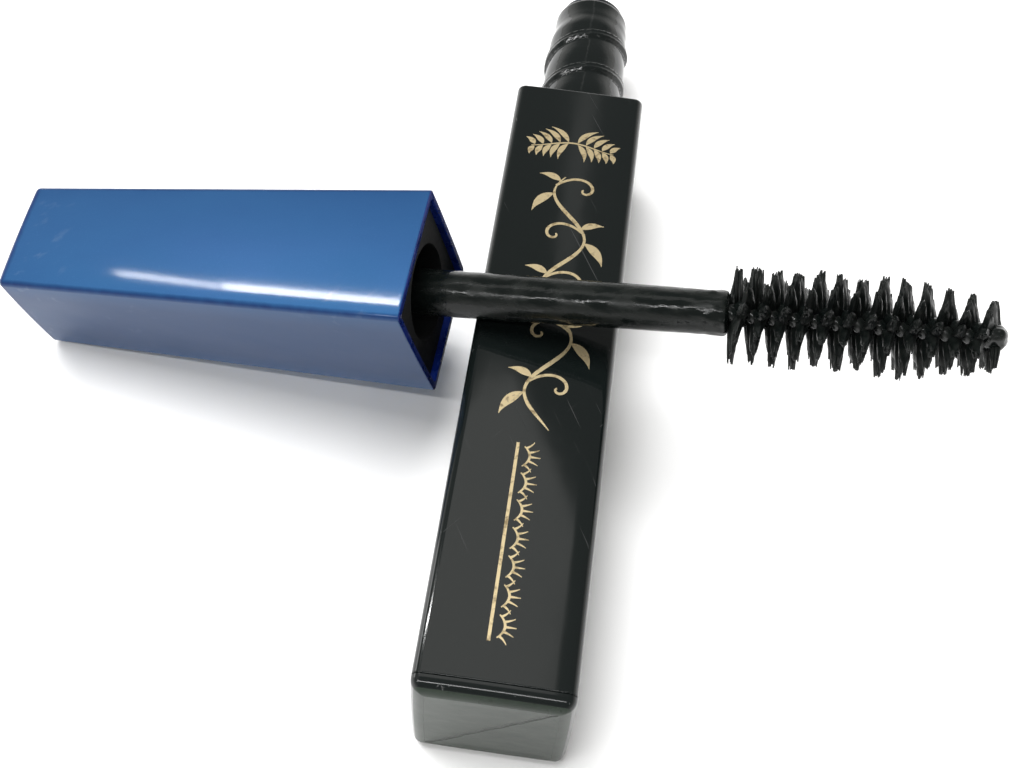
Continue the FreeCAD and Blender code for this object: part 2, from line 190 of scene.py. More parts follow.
def finish_mesh(mesh: bpy.types.Mesh, sharp: float = SHARP_EDGE) -> None:
    """Turns the faces outwards and shades the mesh smooth, apart from its sharp edges."""
    work = bmesh.new()
    work.from_mesh(mesh)
    bmesh.ops.recalc_face_normals(work, faces=work.faces)
    work.to_mesh(mesh)
    work.free()
    mesh.shade_smooth()
    mesh.set_sharp_from_angle(angle=sharp)


def loft(
    name: str, rings: Sequence[np.ndarray], looped: bool = False, sharp: float = SHARP_EDGE
) -> bpy.types.Mesh:
    """A closed skin over rings that have the same number of points.

    Args:
        name: the mesh's name.
        rings: the rings in order, as arrays of (x, y, z) points.
        looped: joins the last ring to the first in place of closing both ends.
        sharp: angle beyond which an edge is shaded sharp.

    Returns:
        The mesh, still in the rings' own units.
    """
    count = len(rings[0])
    faces = []
    pairs = len(rings) if looped else len(rings) - 1
    for number in range(pairs):
        low, high = number * count, (number + 1) % len(rings) * count
        for step in range(count):
            after = (step + 1) % count
            faces.append((low + step, low + after, high + after, high + step))
    if not looped:
        faces.append(tuple(range(count)))
        faces.append(tuple((len(rings) - 1) * count + step for step in range(count)))
    mesh = bpy.data.meshes.new(name)
    mesh.from_pydata(np.vstack(rings).tolist(), [], faces)
    finish_mesh(mesh, sharp)
    return mesh


def rounded_end(end: float, edge: float, inwards: float, steps: int = 6) -> list[tuple[float, float]]:
    """Stations and insets of a quarter-round edge, from the side to the end face.

    Args:
        end: station of the end face.
        edge: radius of the rounding.
        inwards: 1 where the piece lies at greater stations than the end, or -1.
        steps: steps in the quarter round.

    Returns:
        (station, inset) pairs.
    """
    pairs = []
    for step in range(steps + 1):
        angle = step / steps * math.pi / 2
        pairs.append((end + inwards * edge * (1 - math.sin(angle)), edge * (1 - math.cos(angle))))
    return pairs


def add_piece(name: str, mesh: bpy.types.Mesh, material: Material | None = None) -> Piece:
    """Links a mesh to the scene as an object at the origin, with a material of its own."""
    piece = bpy.data.objects.new(name, mesh)
    if material is not None:
        mesh.materials.clear()
        mesh.materials.append(material)
    bpy.context.scene.collection.objects.link(piece)
    return piece


def settle(
    piece: Piece, body: Body, replaces: Sequence[str] = ()
) -> Piece:
    """Puts a finished piece on its body and hides the frame's nodes that it stands for.

    Args:
        piece: the finished piece.
        body: the body that it rides on.
        replaces: the frame's nodes that it stands for.

    Returns:
        The piece.
    """
    if replaces:
        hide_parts(*replaces)
    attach(piece, body.value)
    triangles = sum(len(face.vertices) - 2 for face in piece.data.polygons)
    LOG.info("%s: %d triangles on %s", piece.name, triangles, body.value)
    return piece


# ------------------------------------------------------------------------------------- node trees
class NodeMaker:
    """Adds nodes to one node tree, with a value or a socket for each of their inputs."""

    def __init__(self, tree: bpy.types.NodeTree) -> None:
        """Works on one tree."""
        self.tree = tree

    def feed(self, socket: Socket, value: object) -> None:
        """Links a socket to an input, or sets the input's value."""
        if isinstance(value, Socket):
            self.tree.links.new(value, socket)
        else:
            socket.default_value = value

    def add(self, kind: str, settings: dict | None = None, **inputs: object) -> bpy.types.Node:
        """Adds a node.

        Args:
            kind: the node's type.
            settings: the node's own settings.
            inputs: its inputs by name, with underscores for spaces, as values or sockets.

        Returns:
            The node.
        """
        node = self.tree.nodes.new(kind)
        for key, value in (settings or {}).items():
            setattr(node, key, value)
        for key, value in inputs.items():
            self.feed(node.inputs[key.replace("_", " ")], value)
        return node

    def in_order(self, kind: str, operation: str, *values: object) -> bpy.types.Node:
        """Adds a node with an operation, and feeds its inputs in their order."""
        node = self.add(kind, {"operation": operation})
        for socket, value in zip(node.inputs, values):
            self.feed(socket, value)
        return node

    def math(self, operation: str, *values: object) -> Socket:
        """The result of a sum on one, two or three numbers."""
        return self.in_order("ShaderNodeMath", operation, *values).outputs[0]

    def times(self, first: object, second: object) -> Socket:
        """The product of two numbers."""
        return self.math("MULTIPLY", first, second)

    def over(self, first: object, second: object) -> Socket:
        """The first number divided by the second."""
        return self.math("DIVIDE", first, second)

    def plus(self, first: object, second: object) -> Socket:
        """The total of two numbers."""
        return self.math("ADD", first, second)

    def minus(self, first: object, second: object) -> Socket:
        """The first number less the second."""
        return self.math("SUBTRACT", first, second)

    def inverse(self, share: Socket) -> Socket:
        """What is left of 1 after a share."""
        return self.minus(1.0, share)

    def split(self, vector: Socket) -> Sequence[Socket]:
        """The x, y and z of a vector."""
        return self.add("ShaderNodeSeparateXYZ", None, Vector=vector).outputs


class TreeMaker(NodeMaker):
    """Builds one geometry tree with named inputs."""

    def __init__(self, name: str) -> None:
        """Starts an empty tree that gives one geometry."""
        super().__init__(bpy.data.node_groups.new(name, "GeometryNodeTree"))
        self.tree.interface.new_socket(name="Geometry", in_out="OUTPUT", socket_type="NodeSocketGeometry")
        self.entry = self.tree.nodes.new("NodeGroupInput")
        self.exit = self.tree.nodes.new("NodeGroupOutput")

    def socket(self, name: str, kind: str) -> Socket:
        """A named input of any kind."""
        self.tree.interface.new_socket(name=name, in_out="INPUT", socket_type=kind)
        return self.entry.outputs[name]

    def whole(self, name: str) -> Socket:
        """A named whole number among the tree's inputs."""
        return self.socket(name, "NodeSocketInt")

    def numbers(self, *names: str) -> list[Socket]:
        """Named numbers among the tree's inputs."""
        return [self.socket(name, "NodeSocketFloat") for name in names]

    def chance(self, low: float, high: float, seed: object, key: object = None) -> Socket:
        """A random number for each point, or for each value of a key.

        Args:
            low: the least that it can be.
            high: the most that it can be.
            seed: the seed of the draw.
            key: what points with the same number share, or None for a draw at each point.

        Returns:
            The random number.
        """
        node = self.add("FunctionNodeRandomValue", {"data_type": "FLOAT"})
        ends = [s for s in node.inputs if s.name in ("Min", "Max") and s.type == "VALUE"]
        for socket, value in zip((*ends, node.inputs["Seed"]), (low, high, seed)):
            self.feed(socket, value)
        if key is not None:
            self.feed(node.inputs["ID"], key)
        return next(s for s in node.outputs if s.type == "VALUE")

    def vector(self, x: object, y: object, z: object) -> Socket:
        """A vector made of three numbers."""
        return self.add("ShaderNodeCombineXYZ", None, X=x, Y=y, Z=z).outputs[0]

    def spoke(self, x: object, radius: object, angle: object) -> Socket:
        """The point at a station, a distance from the axis and an angle round it."""
        return self.vector(
            x, self.times(radius, self.math("COSINE", angle)), self.times(radius, self.math("SINE", angle))
        )

    def finish(self, geometry: Socket, material: Socket) -> bpy.types.NodeTree:
        """Ends the tree: real geometry, shaded smooth, with its material."""
        real = self.add("GeometryNodeRealizeInstances", None, Geometry=geometry)
        smooth = self.add("GeometryNodeSetShadeSmooth", None, Geometry=real.outputs[0])
        dressed = self.add("GeometryNodeSetMaterial", None, Geometry=smooth.outputs[0], Material=material)
        self.tree.links.new(dressed.outputs[0], self.exit.inputs[0])
        return self.tree


def run_tree(name: str, tree: bpy.types.NodeTree, values: dict[str, object]) -> Piece:
    """Runs a geometry tree once and keeps its result as a plain mesh.

    Args:
        name: the piece's name.
        tree: the geometry tree.
        values: the tree's inputs by name.

    Returns:
        An object at the origin with the tree's mesh and no modifier.
    """
    holder = bpy.data.objects.new(name + "_tree", bpy.data.meshes.new(name + "_tree"))
    bpy.context.scene.collection.objects.link(holder)
    modifier = holder.modifiers.new("Build", "NODES")
    modifier.node_group = tree
    for item in tree.interface.items_tree:
        if item.item_type == "SOCKET" and item.in_out == "INPUT":
            modifier[item.identifier] = values[item.name]
    bpy.context.view_layer.update()
    solved = holder.evaluated_get(bpy.context.evaluated_depsgraph_get())
    mesh = bpy.data.meshes.new_from_object(solved)
    mesh.name = name
    bpy.data.objects.remove(holder)
    mesh.materials.clear()
    mesh.materials.append(values["Material"])
    mesh.polygons.foreach_set("material_index", [0] * len(mesh.polygons))
    return add_piece(name, mesh)


# ------------------------------------------------------------------------------------- materials
class ShaderMaker(NodeMaker):
    """Builds one material round a Principled shader, in object coordinates in millimetres."""

    def __init__(self, name: str, **sockets: object) -> None:
        """Starts a material.

        Args:
            name: the material's name.
            sockets: even values for the shader's sockets, with underscores for spaces.
        """
        self.material = bpy.data.materials.new(name)
        self.material.use_nodes = True
        super().__init__(self.material.node_tree)
        self.shader = self.tree.nodes["Principled BSDF"]
        for key, value in sockets.items():
            self.socket(key.replace("_", " "), value)
        self.place = self.add("ShaderNodeTexCoord").outputs["Object"]
        self.height: Socket | None = None

    def mapped(self, **inputs: object) -> Socket:
        """Object coordinates in a frame of their own, set by its location, rotation and scale."""
        node = self.add("ShaderNodeMapping", {"vector_type": "TEXTURE"}, Vector=self.place, **inputs)
        return node.outputs[0]

    def local(self, matrix: Matrix) -> Sequence[Socket]:
        """The three object coordinates in millimetres, in the frame of a matrix."""
        turn = matrix.to_euler("XYZ")
        return self.split(self.mapped(Location=matrix.to_translation(), Rotation=turn, Scale=(MM, MM, MM)))

    def grain(self, cells: float | Point, detail: float = 3.0, turn: Point = (0.0, 0.0, 0.0)) -> Socket:
        """Noise of a fineness.

        Args:
            cells: cells per millimetre, along each direction or the same along all.
            detail: octaves of finer noise.
            turn: how far the directions are turned, in radians.

        Returns:
            The noise, mostly between 0.3 and 0.7.
        """
        sizes = [MM / value for value in (cells if isinstance(cells, tuple) else (cells,) * 3)]
        place = self.mapped(Rotation=turn, Scale=sizes)
        return self.add("ShaderNodeTexNoise", None, Vector=place, Scale=1.0, Detail=detail).outputs["Fac"]

    def ramp(self, value: Socket, low: float, high: float) -> Socket:
        """The value stretched so that low becomes 0 and high becomes 1, and cut off there."""
        return self.add("ShaderNodeMapRange", None, Value=value, From_Min=low, From_Max=high).outputs[0]

    def between(self, share: Socket, low: float, high: float) -> Socket:
        """A number that goes from low to high as the share goes from 0 to 1."""
        return self.math("MULTIPLY_ADD", share, high - low, low)

    def mix(self, share: object, first: Socket | Colour, second: Socket | Colour) -> Socket:
        """A colour between two, by a share."""
        node = self.add("ShaderNodeMix", {"data_type": "RGBA"})
        self.feed(node.inputs["Factor"], share)
        for socket, value in zip([s for s in node.inputs if s.type == "RGBA"], (first, second)):
            self.feed(socket, value if isinstance(value, Socket) else (*value, 1.0))
        return next(s for s in node.outputs if s.type == "RGBA")

    def socket(self, name: str, value: object) -> None:
        """Feeds one of the shader's sockets."""
        self.feed(self.shader.inputs[name], value)

    def bump(self, height: Socket, depth_mm: float) -> None:
        """Adds relief of a depth in millimetres to what the shader already has."""
        node = self.add("ShaderNodeBump", None, Distance=depth_mm * MM, Height=height)
        if self.height is not None:
            self.feed(node.inputs["Normal"], self.height)
        self.height = node.outputs[0]
        self.socket("Normal", self.height)


@dataclass(frozen=True)
class GlossBlack:
    """Glossy black moulded plastic: slight waviness, hazy patches and hairline scratches."""

    name: str
    colour: Colour = (0.0045, 0.0065, 0.0063)
    roughness: float = 0.05
    waviness: float = 0.004
    wear_and_edge_jitter: float = 1.0
    ripple: float = 0.0

    def build(self) -> Material:
        """The material."""
        maker = ShaderMaker(self.name, IOR=1.5, Specular_IOR_Level=0.5)
        haze = maker.ramp(maker.grain((0.10, 0.06, 0.10), 4.0), 0.35, 0.75)
        hairs = maker.ramp(maker.grain((2.6, 0.05, 2.6), 2.0, (0, 0, 0.5)), 0.71, 0.76)
        crossing = maker.ramp(maker.grain((0.07, 3.2, 3.2), 2.0, (0, 0, 0.9)), 0.73, 0.78)
        scratches = maker.times(maker.math("MAXIMUM", hairs, crossing), self.wear_and_edge_jitter)
        maker.socket("Base Color", maker.mix(scratches, self.colour, tuple(c + 0.05 for c in self.colour)))
        roughness = maker.between(haze, self.roughness, self.roughness + 0.07)
        maker.socket("Roughness", maker.math("MULTIPLY_ADD", scratches, 0.3, roughness))
        maker.bump(maker.grain((0.16, 0.12, 0.16), 2.0), self.waviness * 4)
        if self.wear_and_edge_jitter:
            maker.bump(scratches, -0.002)
        if self.ripple:
            maker.bump(maker.grain(0.8, 3.0), self.ripple)
        return maker.material


@dataclass(frozen=True)
class SatinEnd:
    """Charcoal plastic of the base, which mirrors the surface softly, with a fold across it drawn as a
    painted shade line and a painted lit side.
    """

    name: str
    colour: Colour = (0.021, 0.029, 0.022)
    roughness: float = 0.26
    # Painted light: the colour of the lit side above the fold.
    lit_above_fold: Colour = (0.038, 0.048, 0.039)
    fold: float | None = None
    fold_height: float = 7.5

    def build(self) -> Material:
        """The material."""
        maker = ShaderMaker(self.name, IOR=1.5, Specular_IOR_Level=0.22)
        mottle = maker.grain(0.22, 4.0)
        speck = maker.ramp(maker.grain(1.5, 2.0), 0.70, 0.78)
        pale = tuple(value * 1.45 for value in self.colour)
        dark = tuple(value * 0.45 for value in self.colour)
        colour = maker.mix(maker.ramp(mottle, 0.35, 0.7), self.colour, pale)
        colour = maker.mix(maker.times(speck, 0.6), colour, dark)
        if self.fold is not None:
            colour = self.folded(maker, colour, dark)
        maker.socket("Base Color", colour)
        maker.socket("Roughness", maker.between(mottle, self.roughness - 0.06, self.roughness + 0.1))
        maker.bump(maker.grain(0.5, 3.0), 0.035)
        return maker.material

    def folded(self, maker: ShaderMaker, colour: Socket, dark: Colour) -> Socket:
        """Draws the fold as painted light and shade.

        Args:
            maker: the material under way.
            colour: the colour without the fold.
            dark: the colour of the painted shade line along the fold.

        Returns:
            The colour with a painted shade line along the fold and a painted lit side above it.
        """
        across, _, up = maker.split(maker.mapped(Scale=(MM, MM, MM)))
        angle = math.radians(self.fold)
        rise = maker.times(maker.minus(up, self.fold_height), math.cos(angle))
        off = maker.minus(rise, maker.times(across, math.sin(angle)))
        off = maker.plus(off, maker.math("MULTIPLY_ADD", maker.grain(0.5, 2.0), 0.7, -0.35))
        # Painted light: the side above the fold is lighter.
        above = maker.mix(maker.times(maker.ramp(off, -0.1, 0.5), 0.45), colour, self.lit_above_fold)
        # Painted shade: a dark line along the crease.
        line = maker.inverse(maker.ramp(maker.math("ABSOLUTE", off), 0.05, 0.22))
        maker.bump(line, -0.07)
        return maker.mix(maker.times(line, 0.9), above, dark)


@dataclass(frozen=True)
class PearlBlue:
    """Pearly blue lacquer, with painted shade towards the back and on one side, and a navy painted dark
    reflection along the cap's edges.
    """

    frame: AxialFrame
    mouth_half: float
    end_half: float
    length: float
    name: str = "pearl_blue_lacquer"
    face: Colour = (0.012, 0.075, 0.208)
    # Painted shade: the colour that the back of the cap darkens towards.
    painted_back_shade: Colour = (0.012, 0.040, 0.125)
    # Painted shade: the colour that one side of the cap darkens towards.
    dull: Colour = (0.008, 0.033, 0.105)
    # Painted dark reflection: the colour along the cap's edges and round its closed end.
    navy: Colour = (0.003, 0.016, 0.092)
    cloudy: Colour = (0.020, 0.110, 0.262)
    flake: Colour = (0.045, 0.155, 0.33)
    rubbed: Colour = (0.20, 0.26, 0.34)
    metallic: float = 0.3
    roughness: float = 0.38

    def half(self, maker: ShaderMaker, station: Socket) -> Socket:
        """Half the cap's width at a station along it."""
        widening = (self.mouth_half - self.end_half) / self.length
        return maker.math("MULTIPLY_ADD", station, widening, self.end_half)

    def painted_edge_reflection(self, maker: ShaderMaker, local: Sequence[Socket]) -> Socket:
        """Where the painted dark reflection lies along the cap's edges.

        Args:
            maker: the material under way.
            local: the coordinates in the cap's own frame.

        Returns:
            1 along the long edges and round the closed end, and 0 elsewhere.
        """
        half = self.half(maker, local[0])
        sides = [maker.minus(half, maker.math("ABSOLUTE", local[n])) for n in (1, 2)]
        # Noise that makes the border of the painted edge reflection uneven.
        wear_and_edge_jitter = maker.math("MULTIPLY_ADD", maker.grain(0.8, 4.0), 0.3, -0.15)
        near = maker.plus(maker.math("MAXIMUM", *sides), wear_and_edge_jitter)
        edge = maker.inverse(maker.ramp(near, 0.22, 0.75))
        far = maker.plus(maker.math("MAXIMUM", local[0], maker.math("MINIMUM", *sides)), wear_and_edge_jitter)
        end = maker.inverse(maker.ramp(far, 0.35, 1.0))
        return maker.math("MAXIMUM", edge, end)

    def pearl(self, maker: ShaderMaker, cloud: Socket, local: Sequence[Socket]) -> Socket:
        """The pearl's colour away from the edges.

        Args:
            maker: the material under way.
            cloud: where the lacquer is cloudy.
            local: the coordinates in the cap's own frame.

        Returns:
            The colour, with painted shade that darkens it towards the back and on one side.
        """
        cloudy = maker.mix(maker.times(cloud, 0.55), self.face, self.cloudy)
        flake = maker.ramp(maker.grain(6.0, 2.0), 0.55, 0.8)
        pearl = maker.mix(maker.times(flake, 0.18), cloudy, self.flake)
        # Painted shade: the lacquer darkens towards the back of the cap.
        back = maker.times(maker.ramp(local[1], -self.mouth_half, self.mouth_half), 0.45)
        pearl = maker.mix(back, pearl, self.painted_back_shade)
        # Painted shade: the side where local Y nears minus half the width is darkened.
        off_side = maker.plus(self.half(maker, local[0]), local[1])
        shaded_side = maker.inverse(maker.ramp(off_side, 0.05, 0.25))
        return maker.mix(maker.times(shaded_side, 0.85), pearl, self.dull)

    def build(self) -> Material:
        """The material."""
        coat = {"Coat_Weight": 0.3, "Coat_Roughness": 0.06}
        maker = ShaderMaker(self.name, Metallic=self.metallic, Specular_IOR_Level=0.2, **coat)
        local = maker.local(self.frame.matrix)
        cloud = maker.ramp(maker.grain((0.07, 0.16, 0.16), 4.0), 0.3, 0.75)
        scuff = maker.grain((0.30, 0.9, 0.7), 4.0, (0.4, 0.3, 0.7))
        area = maker.ramp(maker.grain((0.045, 0.05, 0.05), 1.0), 0.52, 0.62)
        rub = maker.times(maker.ramp(scuff, 0.60, 0.78), area)
        rubbed = maker.mix(maker.times(rub, 0.22), self.pearl(maker, cloud, local), self.rubbed)
        # Painted dark reflection: the edges and the closed end turn navy.
        edge_reflection = maker.times(self.painted_edge_reflection(maker, local), 0.92)
        maker.socket("Base Color", maker.mix(edge_reflection, rubbed, self.navy))
        maker.socket("Roughness", maker.between(cloud, self.roughness - 0.05, self.roughness + 0.08))
        maker.bump(maker.grain(7.0, 1.0), 0.0012)
        maker.bump(maker.grain((0.10, 0.22, 0.22)), 0.020)
        return maker.material


@dataclass(frozen=True)
class DeepBlue:
    """Bare blue plastic at the cap's rim, where the lacquer stops."""

    name: str = "cap_rim_blue"
    colour: Colour = (0.002, 0.011, 0.105)
    roughness: float = 0.28

    def build(self) -> Material:
        """The material."""
        maker = ShaderMaker(self.name, IOR=1.5)
        tone = maker.ramp(maker.grain(0.6, 3.0), 0.3, 0.7)
        maker.socket("Base Color", maker.mix(tone, self.colour, tuple(value * 1.7 for value in self.colour)))
        maker.socket("Roughness", maker.between(tone, self.roughness - 0.08, self.roughness + 0.1))
        maker.bump(maker.grain(1.6, 3.0), 0.01)
        return maker.material


@dataclass(frozen=True)
class MatteBlack:
    """Soft black plastic with a fine moulded grain."""

    name: str
    colour: Colour = (0.007, 0.008, 0.009)
    roughness: float = 0.5
    grain_per_mm: float = 3.0

    def build(self) -> Material:
        """The material."""
        maker = ShaderMaker(self.name, IOR=1.48)
        grit = maker.grain(self.grain_per_mm)
        maker.socket("Base Color", maker.mix(grit, self.colour, tuple(value * 1.8 for value in self.colour)))
        maker.socket("Roughness", maker.between(grit, self.roughness - 0.12, self.roughness + 0.12))
        maker.bump(grit, 0.012)
        return maker.material


@dataclass(frozen=True)
class WetPaste:
    """Black paste that is still wet: smooth shiny pools between dull, lumpy patches."""

    name: str
    colour: Colour = (0.0038, 0.0054, 0.0050)
    shine: float = 0.12
    dull: float = 0.5
    lumps_per_mm: float = 0.9
    relief: float = 0.05
    specular: float = 0.5

    def build(self) -> Material:
        """The material."""
        maker = ShaderMaker(self.name, IOR=1.5, Specular_IOR_Level=self.specular)
        lumps = self.lumps_per_mm
        pool = maker.ramp(maker.grain((lumps * 0.45, lumps, lumps), 3.0), 0.42, 0.6)
        fine = maker.grain(lumps * 4.0)
        brown = tuple(value * factor for value, factor in zip(self.colour, (2.2, 1.9, 1.8)))
        maker.socket("Base Color", maker.mix(maker.times(pool, fine), self.colour, brown))
        maker.socket("Roughness", maker.between(pool, self.shine, self.dull))
        maker.bump(maker.grain((lumps * 0.5, lumps, lumps), 4.0), self.relief * 2)
        maker.bump(fine, self.relief * 0.35)
        return maker.material


@dataclass(frozen=True)
class WornFoil:
    """Hot-stamped gold foil, rubbed thin in spots."""

    name: str = "gold_foil"
    gold: Colour = (0.95, 0.78, 0.47)
    worn: Colour = (0.48, 0.37, 0.21)

    def build(self) -> Material:
        """The material."""
        maker = ShaderMaker(self.name, Metallic=0.85, IOR=1.5)
        rub = maker.ramp(maker.grain(1.5, 4.0), 0.52, 0.68)
        maker.socket("Base Color", maker.mix(rub, self.gold, self.worn))
        maker.socket("Roughness", maker.between(rub, 0.34, 0.6))
        maker.bump(maker.grain(5.0, 2.0), 0.004)
        return maker.material


# ------------------------------------------------------------------------------ the square tube
@dataclass
class SquareTube:
    """The tube body: sleeve, base plug with its film, vial with the threaded neck, wiper and paste."""

    frame: AxialFrame
    width: float = 15.0
    corner: float = 1.0
    crown: float = 0.09
    wall: float = 1.0
    flange: float = 1.6
    plug_round: float = 1.4
    plug_depth: float = 6.0
    plug_wall: float = 1.2
    sleeve_end: float = 75.5
    shoulder: float = 1.3
    shoulder_round: float = 0.4
    joint_line: float = 0.06
    film_border: float = 1.4
    film_thickness: float = 0.12
    film_body: float = 0.07
    fold_slant: float = 46.0
    neck_radius: float = 4.8
    neck_length: float = 20.0
    neck_bore: float = 3.9
    rim_round: float = 0.6
    land_step: float = 0.2
    vial_foot: float = 7.7
    vial_radius: float = 6.2
    vial_wall: float = 0.9
    vial_floor: float = 1.2
    vial_centre: float = 0.6
    thread_pitch: float = 6.0
    thread_start: float = 2.5
    thread_rise: float = 12.6
    thread_height: float = 0.4
    crest_flank: tuple[float, float] = (0.36, 0.82)
    crest_dip: float = 0.12
    dip_half: float = 0.3
    land_start: float = 5.0
    land_end: float = 3.0
    barrel: float = 0.13

    def ring(self, inset: float, station: float, corner: float | None = None) -> np.ndarray:
        """A ring of the square section, inset all round."""
        radius = max(self.corner - inset, 0.12) if corner is None else corner
        return at_station(rounded_square(self.width / 2 - inset, radius, self.crown), station)

    def rings(self, *sections: tuple[float, ...]) -> list[np.ndarray]:
        """Rings of the square section, each from its inset, its station and perhaps its corner."""
        return [self.ring(*section) for section in sections]

    def build_sleeve(self) -> Piece:
        """The glossy sleeve, hollow from its base to the shoulder, with the neck's hole."""
        inner = self.wall
        hole = rounded_square(self.width / 2, self.corner)
        start = self.flange + self.joint_line
        rings = self.rings((inner, start, 0.5), (0.04, start), (0.0, start + 0.06), (0.0, start + 0.14))
        spans = 12
        for number in range(1, spans):
            rings.append(self.ring(0.0, start + (self.sleeve_end - start - 1.0) * number / spans))
        rings.append(self.ring(0.0, self.sleeve_end - self.shoulder_round - 0.12))
        for station, inset in rounded_end(self.sleeve_end, self.shoulder_round, -1.0):
            rings.append(self.ring(inset, station))
        for radius in (self.neck_radius + 0.25, self.neck_radius + 0.05):
            depth = 0.0 if radius > self.neck_radius + 0.1 else 0.15
            rings.append(at_station(circle_like(hole, radius), self.sleeve_end - depth))
        under = self.sleeve_end - self.shoulder
        rings.append(at_station(circle_like(hole, self.neck_radius + 0.05), under))
        rings.append(self.ring(inner, under, 0.5))
        mesh = loft("sleeve", rings, looped=True)
        self.frame.place(mesh)
        piece = add_piece("sleeve", mesh, GlossBlack("sleeve_gloss", wear_and_edge_jitter=0.55).build())
        return settle(piece, Body.TUBE, ["outer_sleeve"])

    def build_plug(self) -> Piece:
        """The base plug: a black rounded flange edge round the grey face, and a hollow spigot."""
        recess = self.film_thickness + 0.01
        rim = self.film_border - 0.05
        spigot = self.wall + 0.05
        top = self.flange + self.plug_depth
        face = ((rim + 0.5, recess, 0.4), (rim, recess, 0.5), (rim, 0.012, 0.5), (rim - 0.02, 0.004, 0.52))
        rings = self.rings(*face)
        for station, inset in reversed(rounded_end(0.0, self.plug_round, 1.0, 8)):
            rings.append(self.ring(inset, station))
        flange, inner = self.flange, spigot + self.plug_wall
        rings += self.rings((0.0, flange - 0.11), (0.0, flange - 0.05), (0.04, flange))
        rings += self.rings((spigot, flange, 0.5), (spigot, top - 0.3, 0.5), (spigot + 0.25, top, 0.4))
        rings += self.rings((inner, top, 0.3), (inner, flange, 0.3))
        mesh = loft("base_closure", rings)
        self.frame.place(mesh)
        piece = add_piece("base_closure", mesh, GlossBlack("plug_gloss", roughness=0.09).build())
        mesh.materials.append(SatinEnd("plug_satin").build())
        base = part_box("base_plug")[0].y
        for face in mesh.polygons:
            if face.center.y < base + 0.30 * self.plug_round * MM:
                face.material_index = 1
        return settle(piece, Body.TUBE, ["base_plug"])

    def build_film(self) -> Piece:
        """The thin film on the base, with a fold that runs slantwise across it."""
        steps = 48
        half = self.width / 2 - self.film_border
        span = np.linspace(-half, half, steps + 1)
        across, up = np.meshgrid(span, span, indexing="ij")
        slant = math.radians(-self.fold_slant)
        off_fold = up * math.cos(slant) - across * math.sin(slant)
        fold = 0.022 * np.exp(-((off_fold / 0.20) ** 2)) + 0.016 * smoothstep(-1.5, 0.0, off_fold)
        ripple = np.array([[noise.noise(Vector((a * 0.3, u * 0.3, 3.0))) for u in span] for a in span])
        flat_edge = 1.0 - smoothstep(half - 1.0, half, np.maximum(abs(across), abs(up)))
        front = np.maximum(0.012 + (0.034 - fold + 0.012 * ripple) * flat_edge, 0.004)
        layers = (front, front + self.film_body)
        grid = [np.column_stack((layer.ravel(), across.ravel(), up.ravel())) for layer in layers]
        count = (steps + 1) ** 2
        faces = []
        for row in range(steps):
            for column in range(steps):
                first = row * (steps + 1) + column
                quad = (first, first + 1, first + steps + 2, first + steps + 1)
                faces += [quad, tuple(count + corner for corner in reversed(quad))]
        edge = [row * (steps + 1) for row in range(steps)]
        edge += [steps * (steps + 1) + column for column in range(steps)]
        edge += [(steps - row) * (steps + 1) + steps for row in range(steps)]
        edge += [steps - column for column in range(steps)]
        for number, corner in enumerate(edge):
            after = edge[(number + 1) % len(edge)]
            faces.append((corner, after, count + after, count + corner))
        mesh = bpy.data.meshes.new("base_film")
        mesh.from_pydata(np.vstack(grid).tolist(), [], faces)
        finish_mesh(mesh)
        self.frame.place(mesh)
        satin = SatinEnd("film_satin", roughness=0.22, fold=self.fold_slant)
        piece = add_piece("base_film", mesh, satin.build())
        return settle(piece, Body.TUBE, ["end_label"])

    def neck_relief(self, station: float, angles: np.ndarray) -> np.ndarray:
        """How far the neck stands out at one station: barrel-shaped stretches with the thread between.

        Args:
            station: distance beyond the sleeve's end.
            angles: polar angles round the neck.

        Returns:
            The relief at each angle, in millimetres.
        """
        lead = ThreadHand.RIGHT.value * self.thread_pitch
        climb = self.thread_start + lead * (angles - math.pi) / FULL_TURN
        phase = (station - climb) % self.thread_pitch
        off_crest = np.minimum(phase, self.thread_pitch - phase)
        crest = 1.0 - smoothstep(*self.crest_flank, off_crest)
        dip = self.crest_dip * (1.0 - smoothstep(0.0, self.dip_half, off_crest))
        past_start = station - self.thread_start
        live = smoothstep(-0.4, 1.2, past_start)
        live = live * (1.0 - smoothstep(-1.2, 0.6, past_start - self.thread_rise))
        swell = self.barrel * np.sin(math.pi * np.clip(phase / self.thread_pitch, 0, 1)) ** 2
        land_start, land_end = self.neck_length - self.land_start, self.neck_length - self.land_end
        land = self.land_step * smoothstep(land_start, land_end, station)
        return live * (self.thread_height * (crest - dip)) + swell * smoothstep(0.0, 2.0, station) - land

